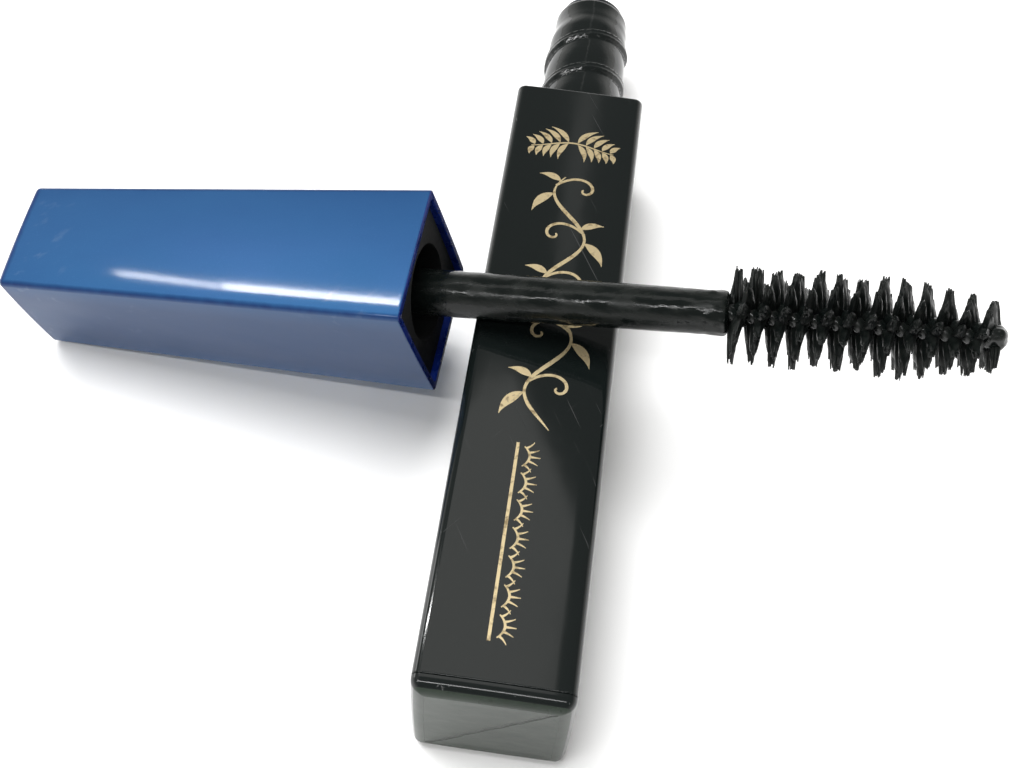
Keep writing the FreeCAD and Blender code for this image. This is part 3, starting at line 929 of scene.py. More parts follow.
    def build_vial(self) -> Piece:
        """The vial, whose neck carries the thread and bulges between its turns."""
        steps = 160
        angles = even_angles(steps)
        under = self.sleeve_end - self.shoulder - 0.05
        rim = self.sleeve_end + self.neck_length
        inner = self.vial_radius - self.vial_wall
        outline: list[Point] = [
            (self.vial_foot, self.vial_centre, 0.0),
            (self.vial_foot, self.vial_radius - 0.5, 0.0),
            (self.vial_foot + 0.5, self.vial_radius, 0.0),
            (under - 0.1, self.vial_radius, 0.0),
            (under, self.vial_radius - 0.1, 0.0),
            (under, self.neck_radius, 0.0),
            (self.sleeve_end + 0.05, self.neck_radius, 0.0),
        ]
        rows = 120
        reach = self.neck_length - self.rim_round
        for row in range(rows + 1):
            outline.append((self.sleeve_end + 0.1 + (reach - 0.1) * row / rows, self.neck_radius, 1.0))
        for station, inset in rounded_end(rim, self.rim_round, -1.0, 6)[1:]:
            outline.append((station, self.neck_radius - self.land_step - inset, 0.0))
        outline += [
            (rim, self.neck_bore, 0.0),
            (under - 1.0, self.neck_bore, 0.0),
            (under - 1.2, inner, 0.0),
            (self.vial_foot + self.vial_floor, inner, 0.0),
            (self.vial_foot + self.vial_floor, self.vial_centre, 0.0),
        ]
        rings = []
        fade_out = self.sleeve_end + reach
        for station, radius, relief in outline:
            extra = np.zeros(steps)
            if relief:
                fade = 1.0 - smoothstep(fade_out - 2.0, fade_out, station)
                raised = self.neck_relief(station - self.sleeve_end, angles)
                extra = raised * fade - self.land_step * (1.0 - fade)
            rings.append(at_station(polar(radius + extra, angles), station))
        mesh = loft("vial", rings)
        self.frame.place(mesh)
        finish = GlossBlack("vial_gloss", roughness=0.06, wear_and_edge_jitter=0.0, ripple=0.03)
        piece = add_piece("vial", mesh, finish.build())
        return settle(piece, Body.TUBE, ["inner_vial"])

    def dress_cad(self, nodes: dict[str, Piece]) -> None:
        """Gives the wiper and the paste, whose shapes are the CAD's, their finishes."""
        dress_node(nodes["wiper"], MatteBlack("wiper_soft", roughness=0.42).build())
        dress_node(nodes["mascara_fill"], WetPaste("paste_in_vial").build())

    def build(self, nodes: dict[str, Piece]) -> None:
        """Builds every piece of the tube."""
        self.build_sleeve()
        self.build_plug()
        self.build_film()
        self.build_vial()
        self.dress_cad(nodes)


def dress_node(node: Piece, material: Material) -> None:
    """Puts a material on a node of the frame, whose mesh stays as it is."""
    node.data.materials.clear()
    node.data.materials.append(material)
    LOG.info("%s: %s", node.name, material.name)


# ------------------------------------------------------------------------------ foil ornament
@dataclass
class FoilOrnament:
    """Gold foil on the tube's upper face: a leaf sprig, a vine, and closed eyes along a ruled line."""

    frame: AxialFrame
    face: float = 7.5
    crown: float = 0.09
    half: float = 7.5
    lift: float = 0.012
    skin: float = 0.018
    sprig_station: float = 66.3
    sprig_leaves: int = 5
    sprig_half: float = 4.7
    vine_start: float = 61.5
    vine_end: float = 28.0
    vine_offset: float = -0.7
    vine_swing: float = 2.0
    vine_waves: float = 2.5
    rule_start: float = 5.4
    rule_end: float = 26.2
    rule_offset: float = 1.1
    rule_width: float = 0.32
    eyes: int = 7
    lid_half: float = 1.12
    lid_offset: float = 0.42
    lid_bow: float = 0.62
    lash_reach: float = 1.05

    def surface(self, offset: float) -> float:
        """Height of the tube's face above its axis, at an offset across it."""
        share = offset / (self.half - 1.0)
        return self.face - self.crown * share * share

    def ribbon(self, path: Sequence[tuple[float, float]], widths: Sequence[float]) -> FoilStrip:
        """A thin closed strip of foil along a path on the face.

        Args:
            path: (station, offset) points along the middle of the strip.
            widths: the strip's width at each point.

        Returns:
            Its vertices and faces.
        """
        points, faces = [], []
        line = np.array(path)
        ahead = np.gradient(line, axis=0)
        for (station, offset), (run, side), width in zip(path, ahead, widths):
            length = math.hypot(run, side) or 1.0
            out = (-side / length * width / 2, run / length * width / 2)
            for sign in (1.0, -1.0):
                x, y = station + sign * out[0], offset + sign * out[1]
                top = self.surface(y) + self.lift
                points += [(x, y, top), (x, y, top - self.skin)]
        for number in range(len(path) - 1):
            a, b = 4 * number, 4 * number + 4
            faces += [(a, a + 2, b + 2, b), (a + 1, b + 1, b + 3, a + 3)]
            faces += [(a, b, b + 1, a + 1), (a + 2, a + 3, b + 3, b + 2)]
        last = 4 * (len(path) - 1)
        faces += [(0, 1, 3, 2), (last, last + 2, last + 3, last + 1)]
        return points, faces

    def strips_mesh(self, name: str, strips: Sequence[FoilStrip]) -> bpy.types.Mesh:
        """One mesh out of several strips.

        Args:
            name: the mesh's name.
            strips: the vertices and faces of each strip.

        Returns:
            The mesh, in millimetres.
        """
        points, faces = [], []
        for strip_points, strip_faces in strips:
            base = len(points)
            points += strip_points
            faces += [tuple(base + corner for corner in face) for face in strip_faces]
        mesh = bpy.data.meshes.new(name)
        mesh.from_pydata(points, [], faces)
        finish_mesh(mesh)
        return mesh

    def leaf(
        self, station: float, offset: float, angle: float, length: float, width: float = 0.45
    ) -> FoilStrip:
        """One pointed leaf that grows from a place on the face.

        Args:
            station: where it grows from, along the tube.
            offset: where it grows from, across the tube.
            angle: its direction, in radians from the tube's axis.
            length: its length.
            width: its width in the middle.

        Returns:
            Its vertices and faces.
        """
        steps = 14
        path, widths = [], []
        for step in range(steps + 1):
            share = step / steps
            bend = angle + 0.5 * (share - 0.5) * math.copysign(1.0, angle)
            path.append((station + length * share * math.cos(bend), offset + length * share * math.sin(bend)))
            widths.append(0.05 + width * math.sin(math.pi * share**0.8) ** 1.3)
        return self.ribbon(path, widths)

    def arch(self, offset: float) -> float:
        """Station of the sprig's stem, which arches a little, at a distance from the face's middle."""
        return self.sprig_station + 0.5 * math.cos(offset * 0.62)

    def build_sprig(self) -> bpy.types.Mesh:
        """A sprig across the tube near the neck: an arched stem with leaves on both sides of it."""
        steps = 60
        stem = []
        for step in range(steps + 1):
            offset = self.sprig_half * (2.0 * step / steps - 1.0)
            stem.append((self.arch(offset), offset))
        strips = [self.ribbon(stem, [0.10 + 0.12 * math.sin(math.pi * s / steps) for s in range(steps + 1)])]
        for number in range(self.sprig_leaves):
            for side in (1.0, -1.0):
                offset = side * (0.55 + 0.95 * number)
                station = self.arch(offset)
                length = 3.0 - 0.38 * number
                strips.append(self.leaf(station + 0.15, offset, side * 0.55, length, 0.62))
                strips.append(self.leaf(station - 0.15, offset, side * (math.pi - 0.60), length * 0.9, 0.62))
        return self.strips_mesh("foil_sprig", strips)

    def stem_offset(self, station: float) -> float:
        """Where the vine's stem is across the face, at a station."""
        share = (self.vine_start - station) / (self.vine_start - self.vine_end)
        return self.vine_offset + self.vine_swing * math.sin(FULL_TURN * self.vine_waves * share + 0.5)

    def tendril(self, station: float, offset: float, angle: float, size: float, turn: float) -> FoilStrip:
        """A curl that winds inwards from a place on the stem.

        Args:
            station: where it starts, along the tube.
            offset: where it starts, across the tube.
            angle: the direction that it starts in, in radians.
            size: about how long it is.
            turn: 1 where it winds one way, or -1 for the other.

        Returns:
            Its vertices and faces.
        """
        steps = 44
        path, widths = [(station, offset)], [0.30]
        heading = angle
        for step in range(steps):
            share = step / steps
            stride = size * (1.15 - share) / steps * 1.7
            heading += turn * (0.045 + 0.22 * share)
            station += stride * math.cos(heading)
            offset += stride * math.sin(heading)
            path.append((station, offset))
            widths.append(0.30 + 0.10 * math.sin(math.pi * share) - 0.12 * share)
        return self.ribbon(path, widths)

    def build_vine(self) -> bpy.types.Mesh:
        """A waved vine along the face, with a broad leaf and a curl at each of its bends."""
        steps = 240
        length = self.vine_start - self.vine_end
        stem, widths = [], []
        for step in range(steps + 1):
            station = self.vine_start - length * step / steps
            stem.append((station, self.stem_offset(station)))
            swell = math.sin(FULL_TURN * self.vine_waves * step / steps + 0.5 + math.pi / 2)
            pointed = min(1.0, 0.25 + 9 * min(step, steps - step) / steps)
            widths.append((0.30 + 0.16 * swell * swell) * pointed)
        strips = [self.ribbon(stem, widths)]
        bends = int(2 * self.vine_waves)
        for bend in range(bends):
            share = (bend + 0.5 - 0.5 / math.pi) / (2 * self.vine_waves)
            station = self.vine_start - length * share
            side = 1.0 if self.stem_offset(station) > self.vine_offset else -1.0
            offset = self.stem_offset(station)
            strips.append(self.leaf(station - 0.3, offset, side * (math.pi - 0.9), 3.6, 1.0))
            strips.append(self.leaf(station + 1.6, self.stem_offset(station + 1.6), side * 1.0, 2.6, 0.8))
            strips.append(self.tendril(station + 0.9, offset - 0.1 * side, -side * 0.75, 6.4, -side))
        return self.strips_mesh("foil_vine", strips)

    def closed_eye(self) -> Piece:
        """A curved lid with five lashes that fan out from it, at station 0."""
        steps = 18
        lid = []
        for step in range(steps + 1):
            along = -1.0 + 2.0 * step / steps
            lid.append((self.lid_half * along, self.lid_offset - self.lid_bow * (1.0 - along * along)))
        strips = [self.ribbon(lid, [0.12 + 0.13 * math.sin(math.pi * n / steps) for n in range(steps + 1)])]
        hairs = 5
        for hair in range(hairs):
            along = 0.84 * (2.0 * hair / (hairs - 1) - 1.0)
            start = (self.lid_half * along, self.lid_offset - self.lid_bow * (1.0 - along * along))
            path, widths = [], []
            for step in range(9):
                share = step / 8
                lean = 0.75 * along * (0.75 + 0.5 * share)
                reach = self.lash_reach * share
                path.append((start[0] + reach * math.sin(lean), start[1] - reach * math.cos(lean)))
                widths.append(0.20 * (1.0 - share) + 0.07)
            strips.append(self.ribbon(path, widths))
        return add_piece("closed_eye", self.strips_mesh("closed_eye", strips))

    def row_tree(self) -> bpy.types.NodeTree:
        """The tree that repeats one motif at even steps along the ruled line."""
        maker = TreeMaker("eye_row")
        count = maker.whole("Count")
        first, step = maker.numbers("First Station", "Step")
        motif = maker.socket("Motif", "NodeSocketObject")
        material = maker.socket("Material", "NodeSocketMaterial")
        line = maker.add(
            "GeometryNodeMeshLine",
            {"mode": "OFFSET", "count_mode": "TOTAL"},
            Count=count,
            Start_Location=maker.vector(first, 0.0, 0.0),
            Offset=maker.vector(step, 0.0, 0.0),
        )
        info = maker.add("GeometryNodeObjectInfo", None, Object=motif)
        row = maker.add(
            "GeometryNodeInstanceOnPoints", None, Points=line.outputs[0], Instance=info.outputs["Geometry"]
        )
        return maker.finish(row.outputs[0], material)

    def build(self) -> None:
        """Builds the three foil pieces on the tube."""
        foil = WornFoil().build()
        for mesh in (self.build_sprig(), self.build_vine()):
            self.frame.place(mesh)
            settle(add_piece(mesh.name, mesh, foil), Body.TUBE)
        length, steps = self.rule_end - self.rule_start, 40
        rule = [(self.rule_start + length * n / steps, self.rule_offset) for n in range(steps + 1)]
        ruled = self.strips_mesh("foil_rule", [self.ribbon(rule, [self.rule_width] * len(rule))])
        self.frame.place(ruled)
        settle(add_piece("foil_rule", ruled, foil), Body.TUBE)
        eye = self.closed_eye()
        step = length / self.eyes
        values = {
            "Count": self.eyes,
            "First Station": self.rule_start + step / 2,
            "Step": step,
            "Motif": eye,
            "Material": foil,
        }
        lashes = run_tree("foil_eyes", self.row_tree(), values)
        bpy.data.objects.remove(eye)
        self.frame.place(lashes.data)
        settle(lashes, Body.TUBE)


# ------------------------------------------------------------------------------ the cap
@dataclass
class TaperedCap:
    """The blue cap: a square shell that narrows to its closed end, over a black liner and a seal."""

    frame: AxialFrame
    length: float = 45.7
    mouth_width: float = 15.6
    end_width: float = 12.8
    corner: float = 0.6
    crown: float = 0.12
    wall: float = 0.8
    end_round: float = 0.55
    lip_round: float = 0.14

    def half(self, station: float) -> float:
        """Half the outer width at a station."""
        return (self.end_width + (self.mouth_width - self.end_width) * station / self.length) / 2

    def ring(self, station: float, inset: float, corner: float) -> np.ndarray:
        """A ring of the shell's section at a station."""
        return at_station(rounded_square(self.half(station) - inset, corner, self.crown, 10, 14), station)

    def build_shell(self) -> Piece:
        """The lacquered shell with its bare blue rim."""
        rings = [self.ring(0.0, self.end_round + 2.5, 0.4), self.ring(0.0, self.end_round + 1.2, 0.5)]
        for station, inset in reversed(rounded_end(0.0, self.end_round, 1.0, 7)):
            rings.append(self.ring(station, inset, self.corner - 0.3 * inset))
        first, last = self.end_round + 0.12, self.length - self.lip_round
        spans = 14
        rings.append(self.ring(first, 0.0, self.corner))
        for number in range(1, spans):
            station = first + (last - first) * number / spans
            rings.append(self.ring(station, 0.0, self.corner))
        rings += [self.ring(last - 0.15, 0.0, self.corner), self.ring(last, 0.0, self.corner)]
        for station, inset in rounded_end(self.length, self.lip_round, -1.0, 3)[1:]:
            rings.append(self.ring(station, inset, self.corner - inset))
        inner = 0.5 * self.corner
        rings.append(self.ring(self.length, self.wall - 0.1, inner))
        rings.append(self.ring(self.length - 0.1, self.wall, inner))
        rings.append(self.ring(self.length * 0.5, self.wall, inner))
        rings.append(self.ring(self.wall, self.wall, inner))
        mesh = loft("blue_cap", rings)
        lip = self.length - 0.6 * self.lip_round
        rim_faces = [number for number, face in enumerate(mesh.polygons) if face.center.x > lip]
        hollow = [
            number
            for number, face in enumerate(mesh.polygons)
            if self.wall <= face.center.x <= lip and self.is_inside(face.center)
        ]
        self.frame.place(mesh)
        lacquer = PearlBlue(self.frame, self.mouth_width / 2, self.end_width / 2, self.length)
        piece = add_piece("blue_cap", mesh, lacquer.build())
        mesh.materials.append(DeepBlue().build())
        for number in rim_faces + hollow:
            mesh.polygons[number].material_index = 1
        return settle(piece, Body.APPLICATOR, ["cap_shell"])

    def is_inside(self, centre: Vector) -> bool:
        """Whether a face's centre lies on the shell's inner wall."""
        return max(abs(centre.y), abs(centre.z)) < self.half(centre.x) - self.wall / 2 - self.crown

    def build(self, nodes: dict[str, Piece]) -> None:
        """Builds the shell and dresses the liner and the seal."""
        self.build_shell()
        dress_node(nodes["cap_liner"], MatteBlack("liner_black", (0.002, 0.0025, 0.003), 0.7).build())
        dress_node(nodes["cap_seal"], MatteBlack("seal_foam", (0.03, 0.03, 0.032), 0.75, 1.6).build())


# ------------------------------------------------------------------------------ rod and brush
# The paste between the bristles: where it starts, how much shorter than the brush it is, its inner
# radius, and (share of the way out, half thickness) from the wire to its edge.
WEB_START = 0.35
WEB_SHORTER = 1.6
WEB_INNER = 0.55
WEB_LEVELS = ((0.0, 0.66), (0.28, 0.58), (0.52, 0.50), (0.76, 0.38), (1.0, 0.12))
WEB_ROWS_PER_TURN = 132
WEB_SHARP = math.radians(60.0)


@dataclass
class BrushWand:
    """The rod under its film of paste, the twisted wire, the paste on it and the bristles."""

    frame: AxialFrame
    rod_foot: float = 14.5
    taper_start: float = 45.7
    brush_start: float = 76.1
    brush_length: float = 25.9
    root_radius: float = 2.45
    tip_radius: float = 2.22
    rod_round: float = 0.55
    film_broad: float = 0.05
    film_lump: float = 0.018
    film_under: float = 0.03
    film_crust: float = 0.16
    lead: float = 3.98
    strand_radius: float = 0.70
    strand_offset: float = 0.58
    sag: tuple[float, float] = (-0.46, -0.34)
    tip_lump: Point = (1.42, 1.25, 1.35)
    reach: float = 5.08
    end_reach: float = 3.65
    taper_share: float = 0.66
    clumps_per_turn: float = 11.0
    bristles: int = 3600
    bristle_radius: float = 0.17
    seed: int = 12
    first_angle: float = 1.15
    turn_nodes: list[str] = field(default_factory=list)

    def envelope(self, share: float) -> float:
        """Reach of the bristles at a share of the brush's length."""
        rise = smoothstep(-0.04, 0.03, share)
        fall = max(0.0, (share - self.taper_share) / (1.0 - self.taper_share))
        return (self.reach - (self.reach - self.end_reach) * fall) * (0.9 + 0.1 * rise)

    def build_rod(self) -> Piece:
        """The rod, whose film of paste makes it slightly uneven, and rough where the brush begins."""
        steps, rows = 96, 260
        angles = even_angles(steps)
        end_round = self.rod_round
        rings = []
        for row in range(rows + 1):
            station = self.rod_foot + (self.brush_start - self.rod_foot) * row / rows
            share = max(0.0, (station - self.taper_start) / (self.brush_start - self.taper_start))
            radius = self.root_radius + (self.tip_radius - self.root_radius) * share
            near_brush = smoothstep(self.brush_start - 4.0, self.brush_start - 0.4, station)
            out_of_cap = smoothstep(self.taper_start - 4.0, self.taper_start + 1.0, station)
            ring = []
            for angle in angles:
                y, z = math.cos(angle), math.sin(angle)
                broad = noise.noise(Vector((station * 0.16, y * 1.3, z * 1.3)))
                lump = noise.noise(Vector((station * 0.9, y * 2.6, z * 2.6 + 7.0)))
                film = out_of_cap * (self.film_broad * broad + self.film_lump * lump - self.film_under)
                film += near_brush * self.film_crust * max(0.0, lump + 0.25)
                short = max(0.0, station - (self.brush_start - end_round))
                inset = end_round - math.sqrt(max(0.0, end_round**2 - short**2))
                ring.append(((radius + film - inset) * y, (radius + film - inset) * z))
            rings.append(at_station(np.array(ring), station))
        rings.append(at_station(polar(0.7, angles), self.brush_start + 0.05))
        mesh = loft("coated_rod", rings)
        self.frame.place(mesh)
        film = WetPaste("rod_film", shine=0.07, dull=0.34, lumps_per_mm=0.7, relief=0.045, specular=0.3)
        piece = add_piece("coated_rod", mesh, film.build())
        return settle(piece, Body.APPLICATOR, ["rod"])

    def strand_tree(self) -> bpy.types.NodeTree:
        """The tree that twists two strands of wire about the wand's axis."""
        maker = TreeMaker("twisted_wire")
        turns, height, start = maker.numbers("Turns", "Height", "Start")
        offset, radius = maker.numbers("Offset", "Wire Radius")
        material = maker.socket("Material", "NodeSocketMaterial")
        spiral = maker.add(
            "GeometryNodeCurveSpiral",
            None,
            Resolution=32,
            Rotations=turns,
            Start_Radius=offset,
            End_Radius=offset,
            Height=height,
            Reverse=True,
        )
        section = maker.add("GeometryNodeCurvePrimitiveCircle", None, Resolution=14, Radius=radius)
        ends = {"Curve": spiral.outputs[0], "Profile_Curve": section.outputs[0], "Fill_Caps": True}
        strand = maker.add("GeometryNodeCurveToMesh", None, **ends)
        both = maker.tree.nodes.new("GeometryNodeJoinGeometry")
        for angle in (0.0, math.pi):
            turned = maker.add(
                "GeometryNodeTransform", None, Geometry=strand.outputs[0], Rotation=(0.0, 0.0, angle)
            )
            maker.tree.links.new(turned.outputs[0], both.inputs[0])
        along = maker.add(
            "GeometryNodeTransform",
            None,
            Geometry=both.outputs[0],
            Translation=maker.vector(start, 0.0, 0.0),
            Rotation=(0.0, math.pi / 2, 0.0),
        )
        return maker.finish(along.outputs[0], material)

    def build_wire(self) -> Piece:
        """The twisted wire with the rounded lump of paste over its folded end."""
        end = self.brush_start + self.brush_length
        height = self.brush_length - 1.5
        values = {
            "Turns": height / self.lead,
            "Height": height,
            "Offset": self.strand_offset,
            "Wire Radius": self.strand_radius,
            "Start": self.brush_start - 0.2,
            "Material": WetPaste("wire_paste", shine=0.1, dull=0.32, lumps_per_mm=0.8, relief=0.04).build(),
        }
        wire = run_tree("twisted_wire", self.strand_tree(), values)
        work = bmesh.new()
        work.from_mesh(wire.data)
        lump = bmesh.ops.create_uvsphere(work, u_segments=40, v_segments=24, radius=1.0)
        size = Vector(self.tip_lump)
        for vertex in lump["verts"]:
            at = vertex.co.copy()
            bulge = 1.0 + 0.16 * noise.noise(at * 1.6) + 0.05 * noise.noise(at * 4.0)
            x = min(at.x * size.x * bulge, 1.44)
            vertex.co = Vector((end - 1.45 + x, at.y * size.y * bulge, at.z * size.z * bulge))
        work.to_mesh(wire.data)
        work.free()
        finish_mesh(wire.data)
        self.let_sag(wire.data)
        self.frame.place(wire.data)
        return settle(wire, Body.APPLICATOR, ["wire_core"])

    def helix_angle(self, station: float) -> float:
        """Angle of the bristle spiral at a distance along the brush; it winds left-handed."""
        return self.first_angle + ThreadHand.LEFT.value * FULL_TURN * station / self.lead

    def tooth(self, angle: float, start_angle: float) -> tuple[float, float]:
        """How far out the paste stands at an angle of the spiral, and how that varies by clump."""
        clump = angle / FULL_TURN * self.clumps_per_turn
        cell = math.floor(clump)
        within = abs(clump - cell - 0.5) * 2.0
        return 1.0 - within**1.6, noise.noise(Vector((cell * 1.7, start_angle * 3.0, 5.0)))

    def web_section(self, share: float, start_angle: float) -> np.ndarray:
        """One section of the paste between the bristles.

        Args:
            share: how far along the brush it is, from 0 to 1.
            start_angle: the angle that the spiral starts at.

        Returns:
            Its points, in millimetres.
        """
        station = WEB_START + (self.brush_length - WEB_SHORTER) * share
        angle = self.helix_angle(station) + start_angle
        tooth, luck = self.tooth(angle, start_angle)
        outer = self.envelope(share) * (0.56 + (0.34 + 0.12 * luck) * tooth)
        ends = smoothstep(0.0, 0.02, share) * (1.0 - smoothstep(0.975, 1.0, share))
        outer = WEB_INNER + (outer - WEB_INNER) * (0.35 + 0.65 * ends)
        column = []
        for level, half in WEB_LEVELS:
            radius = WEB_INNER + (outer - WEB_INNER) * level
            wob = 0.11 * noise.noise(Vector((station * 1.3, radius * 1.1, angle * 1.9)))
            column.append((radius, half * (0.72 + 0.28 * tooth) + 0.05 * wob, wob))
        profile = [(radius, wob + body) for radius, body, wob in column]
        profile += [(radius, wob - body) for radius, body, wob in reversed(column[:-1])]
        start = self.brush_start + station
        return np.array([(start + x, r * math.cos(angle), r * math.sin(angle)) for r, x in profile])

    def build_webs(self) -> list[bpy.types.Mesh]:
        """Paste that fills the bristles near the wire: wedge-shaped teeth along both spirals."""
        rows = int((self.brush_length - WEB_SHORTER) / self.lead * WEB_ROWS_PER_TURN)
        webs = []
        for start_angle in (0.0, math.pi):
            rings = [self.web_section(row / rows, start_angle) for row in range(rows + 1)]
            webs.append(loft("brush_paste", rings, sharp=WEB_SHARP))
        return webs

    def bristle_tree(self) -> bpy.types.NodeTree:
        """The tree that sets the bristles along both spirals and pulls them into clumps."""
        maker = TreeMaker("bristle_spirals")
        count, seed = maker.whole("Count"), maker.whole("Seed")
        start, length, lead, first_angle = maker.numbers("Start", "Length", "Lead", "First Angle")
        reach, end_reach, taper = maker.numbers("Reach", "End Reach", "Taper Share")
        clumps, root, radius = maker.numbers("Clumps per Turn", "Root Radius", "Bristle Radius")
        spread, pull, bend = maker.numbers("Spread", "Pull", "Bend")
        material = maker.socket("Material", "NodeSocketMaterial")
        index = maker.add("GeometryNodeInputIndex").outputs[0]
        share = maker.over(index, count)
        run = maker.times(share, length)
        side = maker.times(maker.math("MODULO", index, 2.0), math.pi)
        wind = maker.over(maker.times(run, -FULL_TURN), lead)
        angle = maker.plus(maker.plus(wind, first_angle), side)
        cell_size = maker.over(FULL_TURN, clumps)
        cell = maker.math("FLOOR", maker.over(angle, cell_size))
        key = maker.plus(cell, maker.times(side, 1000.0))
        centre = maker.times(maker.plus(cell, 0.5), cell_size)
        centre = maker.plus(centre, maker.chance(-0.10, 0.10, seed, key))
        own_pull = maker.times(pull, maker.chance(0.55, 1.15, maker.plus(seed, 3.0)))
        offset = maker.times(maker.minus(centre, angle), own_pull)
        station = maker.plus(start, run)
        tip_run = maker.plus(station, maker.over(maker.times(offset, lead), -FULL_TURN))
        strays = maker.times(spread, maker.chance(-0.85, 0.85, maker.plus(seed, 1.0)))
        fall = maker.over(maker.minus(share, taper), maker.inverse(taper))
        drop = maker.times(maker.minus(reach, end_reach), maker.math("MAXIMUM", fall, 0.0))
        luck = maker.chance(0.86, 1.0, maker.plus(seed, 5.0), key)
        own = maker.chance(0.86, 1.0, maker.plus(seed, 2.0))
        tip_radius = maker.times(maker.minus(reach, drop), maker.times(luck, own))
        tip_x = maker.math("MULTIPLY_ADD", strays, 0.55, tip_run)
        tip = maker.spoke(tip_x, tip_radius, maker.plus(angle, offset))
        foot = maker.spoke(maker.plus(station, strays), root, angle)
        reach_out = maker.in_order("ShaderNodeVectorMath", "SUBTRACT", tip, foot).outputs[0]
        long = maker.in_order("ShaderNodeVectorMath", "LENGTH", reach_out).outputs["Value"]
        points = maker.add("GeometryNodePoints", None, Count=count)
        placed = maker.add("GeometryNodeSetPosition", None, Geometry=points.outputs[0], Position=foot)
        cone = {"Vertices": 5, "Side_Segments": 3, "Radius_Top": 0.42, "Radius_Bottom": 1.0, "Depth": 1.0}
        bristle = maker.add("GeometryNodeMeshCone", None, **cone)
        aim = maker.add("FunctionNodeAlignRotationToVector", {"axis": "Z"}, Vector=reach_out)
        girth = maker.times(radius, maker.chance(0.7, 1.25, maker.plus(seed, 4.0)))
        fibres = maker.add(
            "GeometryNodeInstanceOnPoints",
            None,
            Points=placed.outputs[0],
            Instance=bristle.outputs[0],
            Rotation=aim.outputs[0],
            Scale=maker.vector(girth, girth, long),
        )
        real = maker.add("GeometryNodeRealizeInstances", None, Geometry=fibres.outputs[0])
        sway = self.sway(maker, bend, reach)
        bent = maker.add("GeometryNodeSetPosition", None, Geometry=real.outputs[0], Offset=sway)
        return maker.finish(bent.outputs[0], material)

    def sway(self, maker: TreeMaker, bend: Socket, reach: Socket) -> Socket:
        """How far each point of a bristle is moved aside.

        Args:
            maker: the tree under way.
            bend: the most that a point is moved, at the reach of the bristles.
            reach: the reach of the bristles.

        Returns:
            The move, which grows with the distance from the axis.
        """
        place = maker.add("GeometryNodeInputPosition").outputs[0]
        drift = maker.add("ShaderNodeTexNoise", None, Vector=place, Scale=0.75, Detail=2.0).outputs["Color"]
        centred = maker.in_order("ShaderNodeVectorMath", "SUBTRACT", drift, (0.5, 0.5, 0.5)).outputs[0]
        _, y, z = maker.split(place)
        out = maker.math("SQRT", maker.plus(maker.math("POWER", y, 2.0), maker.math("POWER", z, 2.0)))
        strength = maker.times(bend, maker.over(out, reach))
        scaled = maker.add("ShaderNodeVectorMath", {"operation": "SCALE"}, Vector=centred, Scale=strength)
        return scaled.outputs[0]

    def build_bristles(self) -> Piece:
        """The bristles with the paste between them, as one piece in place of the CAD's fins."""
        coat = WetPaste("bristle_paste", shine=0.3, dull=0.55, lumps_per_mm=1.6, relief=0.03).build()
        values = {
            "Count": self.bristles,
            "Start": self.brush_start + 0.35,
            "Length": self.brush_length - 1.5,
            "Lead": self.lead,
            "First Angle": self.helix_angle(0.35),
            "Reach": self.reach,
            "End Reach": self.end_reach,
            "Taper Share": self.taper_share,
            "Clumps per Turn": self.clumps_per_turn,
            "Root Radius": 0.9,
            "Bristle Radius": self.bristle_radius,
            "Spread": 0.55,
            "Pull": 0.95,
            "Bend": 0.4,
            "Seed": self.seed,
            "Material": coat,
        }
        brush = run_tree("bristle_brush", self.bristle_tree(), values)
        work = bmesh.new()
        work.from_mesh(brush.data)
        for web in self.build_webs():
            work.from_mesh(web)
            bpy.data.meshes.remove(web)
        for face in work.faces:
            face.smooth = True
        work.to_mesh(brush.data)
        work.free()
        self.keep_within(brush.data)
        self.let_sag(brush.data)
        self.frame.place(brush.data)
        return settle(brush, Body.APPLICATOR, self.turn_nodes)

    def let_sag(self, mesh: bpy.types.Mesh) -> None:
        """Bends the brush a little, more and more towards its tip, as a used wire bends."""
        for vertex in mesh.vertices:
            share = max(0.0, (vertex.co.x - self.brush_start) / self.brush_length)
            vertex.co.y += self.sag[0] * share * share
            vertex.co.z += self.sag[1] * share * share

    def keep_within(self, mesh: bpy.types.Mesh) -> None:
        """Draws in every point that stands beyond the brush's outline.

        Args:
            mesh: the brush's mesh, in millimetres.
        """
        for vertex in mesh.vertices:
            share = (vertex.co.x - self.brush_start) / self.brush_length
            limit = self.envelope(min(max(share, 0.0), 1.0))
            radius = math.hypot(vertex.co.y, vertex.co.z)
            if radius > limit:
                vertex.co.y *= limit / radius
                vertex.co.z *= limit / radius
            vertex.co.x = min(vertex.co.x, self.brush_start + self.brush_length - 0.02)

    def build(self) -> None:
        """Builds the rod, the wire and the bristles."""
        self.build_rod()
        self.build_wire()
        self.build_bristles()


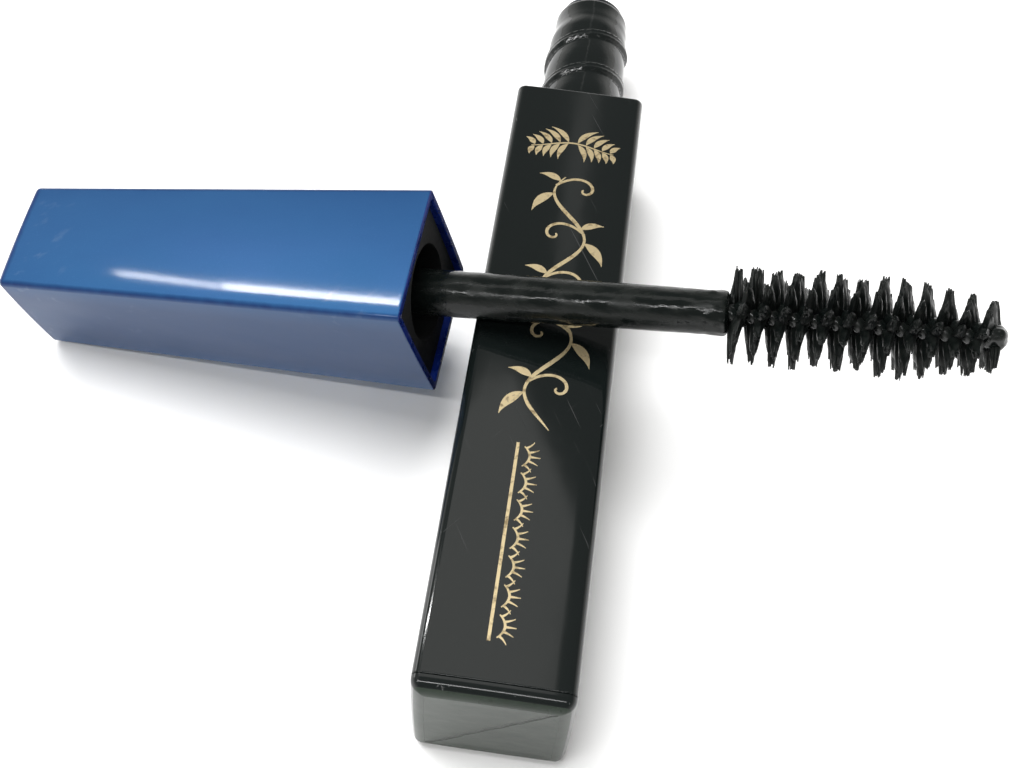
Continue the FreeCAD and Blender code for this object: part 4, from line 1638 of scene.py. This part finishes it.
# ------------------------------------------------------------------------------ studio and camera
@dataclass
class Studio:
    """A pale floor, soft light from the upper left, and the camera."""

    eye: Point = (2.087, -79.091, 125.819)
    azimuth: float = 3.615
    elevation: float = 56.138
    roll: float = 4.681
    lens: float = 46.82
    sensor_width: float = 36.0
    floor_white: Colour = (0.97, 0.97, 0.97)
    sky_tint: Colour = (1.0, 0.99, 0.96)
    floor_size: float = 6.0
    floor_drop: float = 0.0002
    horizon: float = 1.0
    overhead: float = 0.22
    patch: float = 0.9
    bar: float = 0.4
    left_sky: float = 0.3
    key_strength: float = 3.5
    key_spread: float = 42.0
    key_from: Point = (-0.26, 0.20, 1.0)

    def add_camera(self) -> None:
        """The camera, looking down on the object along the tube."""
        a, e, r = (math.radians(value) for value in (self.azimuth, self.elevation, self.roll))
        back = Vector((math.sin(a) * math.cos(e), -math.cos(a) * math.cos(e), math.sin(e)))
        level = Vector((math.cos(a), math.sin(a), 0.0))
        upright = back.cross(level)
        right = level * math.cos(r) + upright * math.sin(r)
        above = upright * math.cos(r) - level * math.sin(r)
        turn = Matrix((right, above, back)).transposed().to_4x4()
        data = bpy.data.cameras.new("camera")
        data.lens = self.lens
        data.sensor_width = self.sensor_width
        data.clip_start = 0.005
        data.clip_end = 50.0
        camera = bpy.data.objects.new("camera", data)
        camera.matrix_world = Matrix.Translation(Vector(self.eye) * MM) @ turn
        bpy.context.scene.collection.objects.link(camera)
        bpy.context.scene.camera = camera

    def add_floor(self) -> None:
        """The pale surface under the object."""
        half = self.floor_size / 2
        mesh = bpy.data.meshes.new("floor")
        corners = [(-half, -half), (half, -half), (half, half), (-half, half)]
        mesh.from_pydata([(x, y, -self.floor_drop) for x, y in corners], [], [(0, 1, 2, 3)])
        maker = ShaderMaker("floor_white", Base_Color=(*self.floor_white, 1.0), Roughness=0.6)
        floor = add_piece("floor", mesh, maker.material)

    def add_strip(self, strip: "Strip") -> None:
        """Adds one rectangular light whose long side runs between two points, facing a target.

        Args:
            strip: the light's points, width, radiance, target and colour.
        """
        ends = [Vector(end) for end in (strip.start, strip.end)]
        middle = (ends[0] + ends[1]) / 2
        facing = (middle - Vector(strip.target)).normalized()
        along = ends[1] - ends[0]
        along = (along - facing * along.dot(facing)).normalized()
        data = bpy.data.lights.new(strip.name, "AREA")
        data.shape = "RECTANGLE"
        data.size, data.size_y = (ends[1] - ends[0]).length, strip.width
        data.energy = strip.radiance * math.pi * data.size * data.size_y
        data.color = strip.colour
        light = bpy.data.objects.new(strip.name, data)
        turn = Matrix((along, facing.cross(along), facing)).transposed().to_4x4()
        light.matrix_world = Matrix.Translation(middle) @ turn
        bpy.context.scene.collection.objects.link(light)

    def add_sun(self) -> None:
        """The broad light that whitens the floor and throws soft shadows; gloss doesn't mirror it."""
        data = bpy.data.lights.new("broad_key", "SUN")
        data.energy = self.key_strength
        data.angle = math.radians(self.key_spread)
        light = bpy.data.objects.new("broad_key", data)
        light.rotation_euler = Vector(self.key_from).to_track_quat("Z", "Y").to_euler()
        light.visible_glossy = False
        bpy.context.scene.collection.objects.link(light)

    def add_world(self) -> None:
        """A room that is pale near the horizon and dark above, with one bright ceiling patch."""
        world = bpy.data.worlds.new("surround")
        world.use_nodes = True
        maker = NodeMaker(world.node_tree)
        x, y, z = maker.split(maker.add("ShaderNodeTexCoord").outputs["Generated"])

        def ramp(value: Socket, *ends: float) -> Socket:
            """The value stretched smoothly from its two ends to 0 and 1, or to two more."""
            names = ("From_Min", "From_Max", "To_Min", "To_Max")
            smooth = {"interpolation_type": "SMOOTHSTEP"}
            return maker.add("ShaderNodeMapRange", smooth, Value=value, **dict(zip(names, ends))).outputs[0]

        room = ramp(z, 0.05, 0.55, self.horizon, self.overhead)
        border = maker.math("MINIMUM", maker.math("MULTIPLY_ADD", z, 2.3, -1.95), 0.078)
        patch = maker.times(ramp(maker.minus(border, x), -0.012, 0.012), ramp(y, 0.10, 0.20))
        patch = maker.times(patch, ramp(z, 0.815, 0.83))
        bar = ramp(maker.math("ABSOLUTE", maker.plus(x, 0.002)), 0.012, 0.02, 1.0, 0.0)
        bar = maker.times(bar, ramp(y, 0.6, 0.65))
        glow = maker.math("MULTIPLY_ADD", patch, self.patch, room)
        left_sky = maker.times(ramp(y, 0.52, 0.30), ramp(x, -0.38, -0.48))
        glow = maker.math("MULTIPLY_ADD", maker.times(left_sky, ramp(z, 0.5, 0.6)), self.left_sky, glow)
        back = world.node_tree.nodes["Background"]
        maker.feed(back.inputs["Strength"], maker.math("MULTIPLY_ADD", bar, self.bar, glow))
        maker.feed(back.inputs["Color"], (*self.sky_tint, 1.0))
        bpy.context.scene.world = world

    def build(self) -> None:
        """Sets up the camera, the floor and the lights."""
        bpy.context.scene.view_settings.view_transform = "Standard"
        self.add_camera()
        self.add_floor()
        self.add_world()
        self.add_sun()
        for strip in STRIPS:
            self.add_strip(strip)


@dataclass(frozen=True)
class Strip:
    """A rectangular light between two points, in metres, with its radiance."""

    name: str
    start: Point
    end: Point
    width: float
    radiance: float
    target: Point = (0.0, 0.0, 0.015)
    colour: Colour = (1.0, 1.0, 1.0)


CAP_TOP: Point = (-0.03, 0.0, 0.02)
STRIPS = (
    Strip("cap_streak", (-0.222, 0.099, 0.230), (-0.158, 0.097, 0.264), 0.0040, 104.0, CAP_TOP),
    Strip("cap_streak_tail", (-0.250, 0.101, 0.211), (-0.224, 0.099, 0.229), 0.0032, 60.0, CAP_TOP),
    Strip("over_shoulder", (-0.11, -0.190, 0.352), (0.06, -0.190, 0.352), 0.014, 22.0),
    Strip("rod_glint", (-0.29, -0.190, 0.352), (-0.11, -0.190, 0.352), 0.010, 45.0),
    Strip("shoulder_left", (-0.27, -0.20, 0.28), (-0.25, -0.22, 0.28), 0.02, 18.0),
    Strip("shoulder_right", (0.20, -0.22, 0.28), (0.22, -0.20, 0.28), 0.02, 18.0),
    Strip("left_window", (-0.50, 0.02, 0.10), (-0.50, 0.22, 0.10), 0.12, 3.0),
)


def main() -> None:
    """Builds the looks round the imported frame."""
    logging.basicConfig(level=logging.INFO, format="%(name)s: %(message)s")
    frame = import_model()
    nodes = frame["nodes"]
    tube = AxialFrame.of_tube()
    wand = AxialFrame.of_wand(frame["joints"], roll=CAP_ROLL)
    Studio().build()
    SquareTube(tube).build(nodes)
    FoilOrnament(tube).build()
    TaperedCap(wand).build(nodes)
    turns = sorted(name for name in nodes if name.startswith("bristle_turn_"))
    BrushWand(wand, turn_nodes=turns).build()


if __name__ == "__main__":
    main()
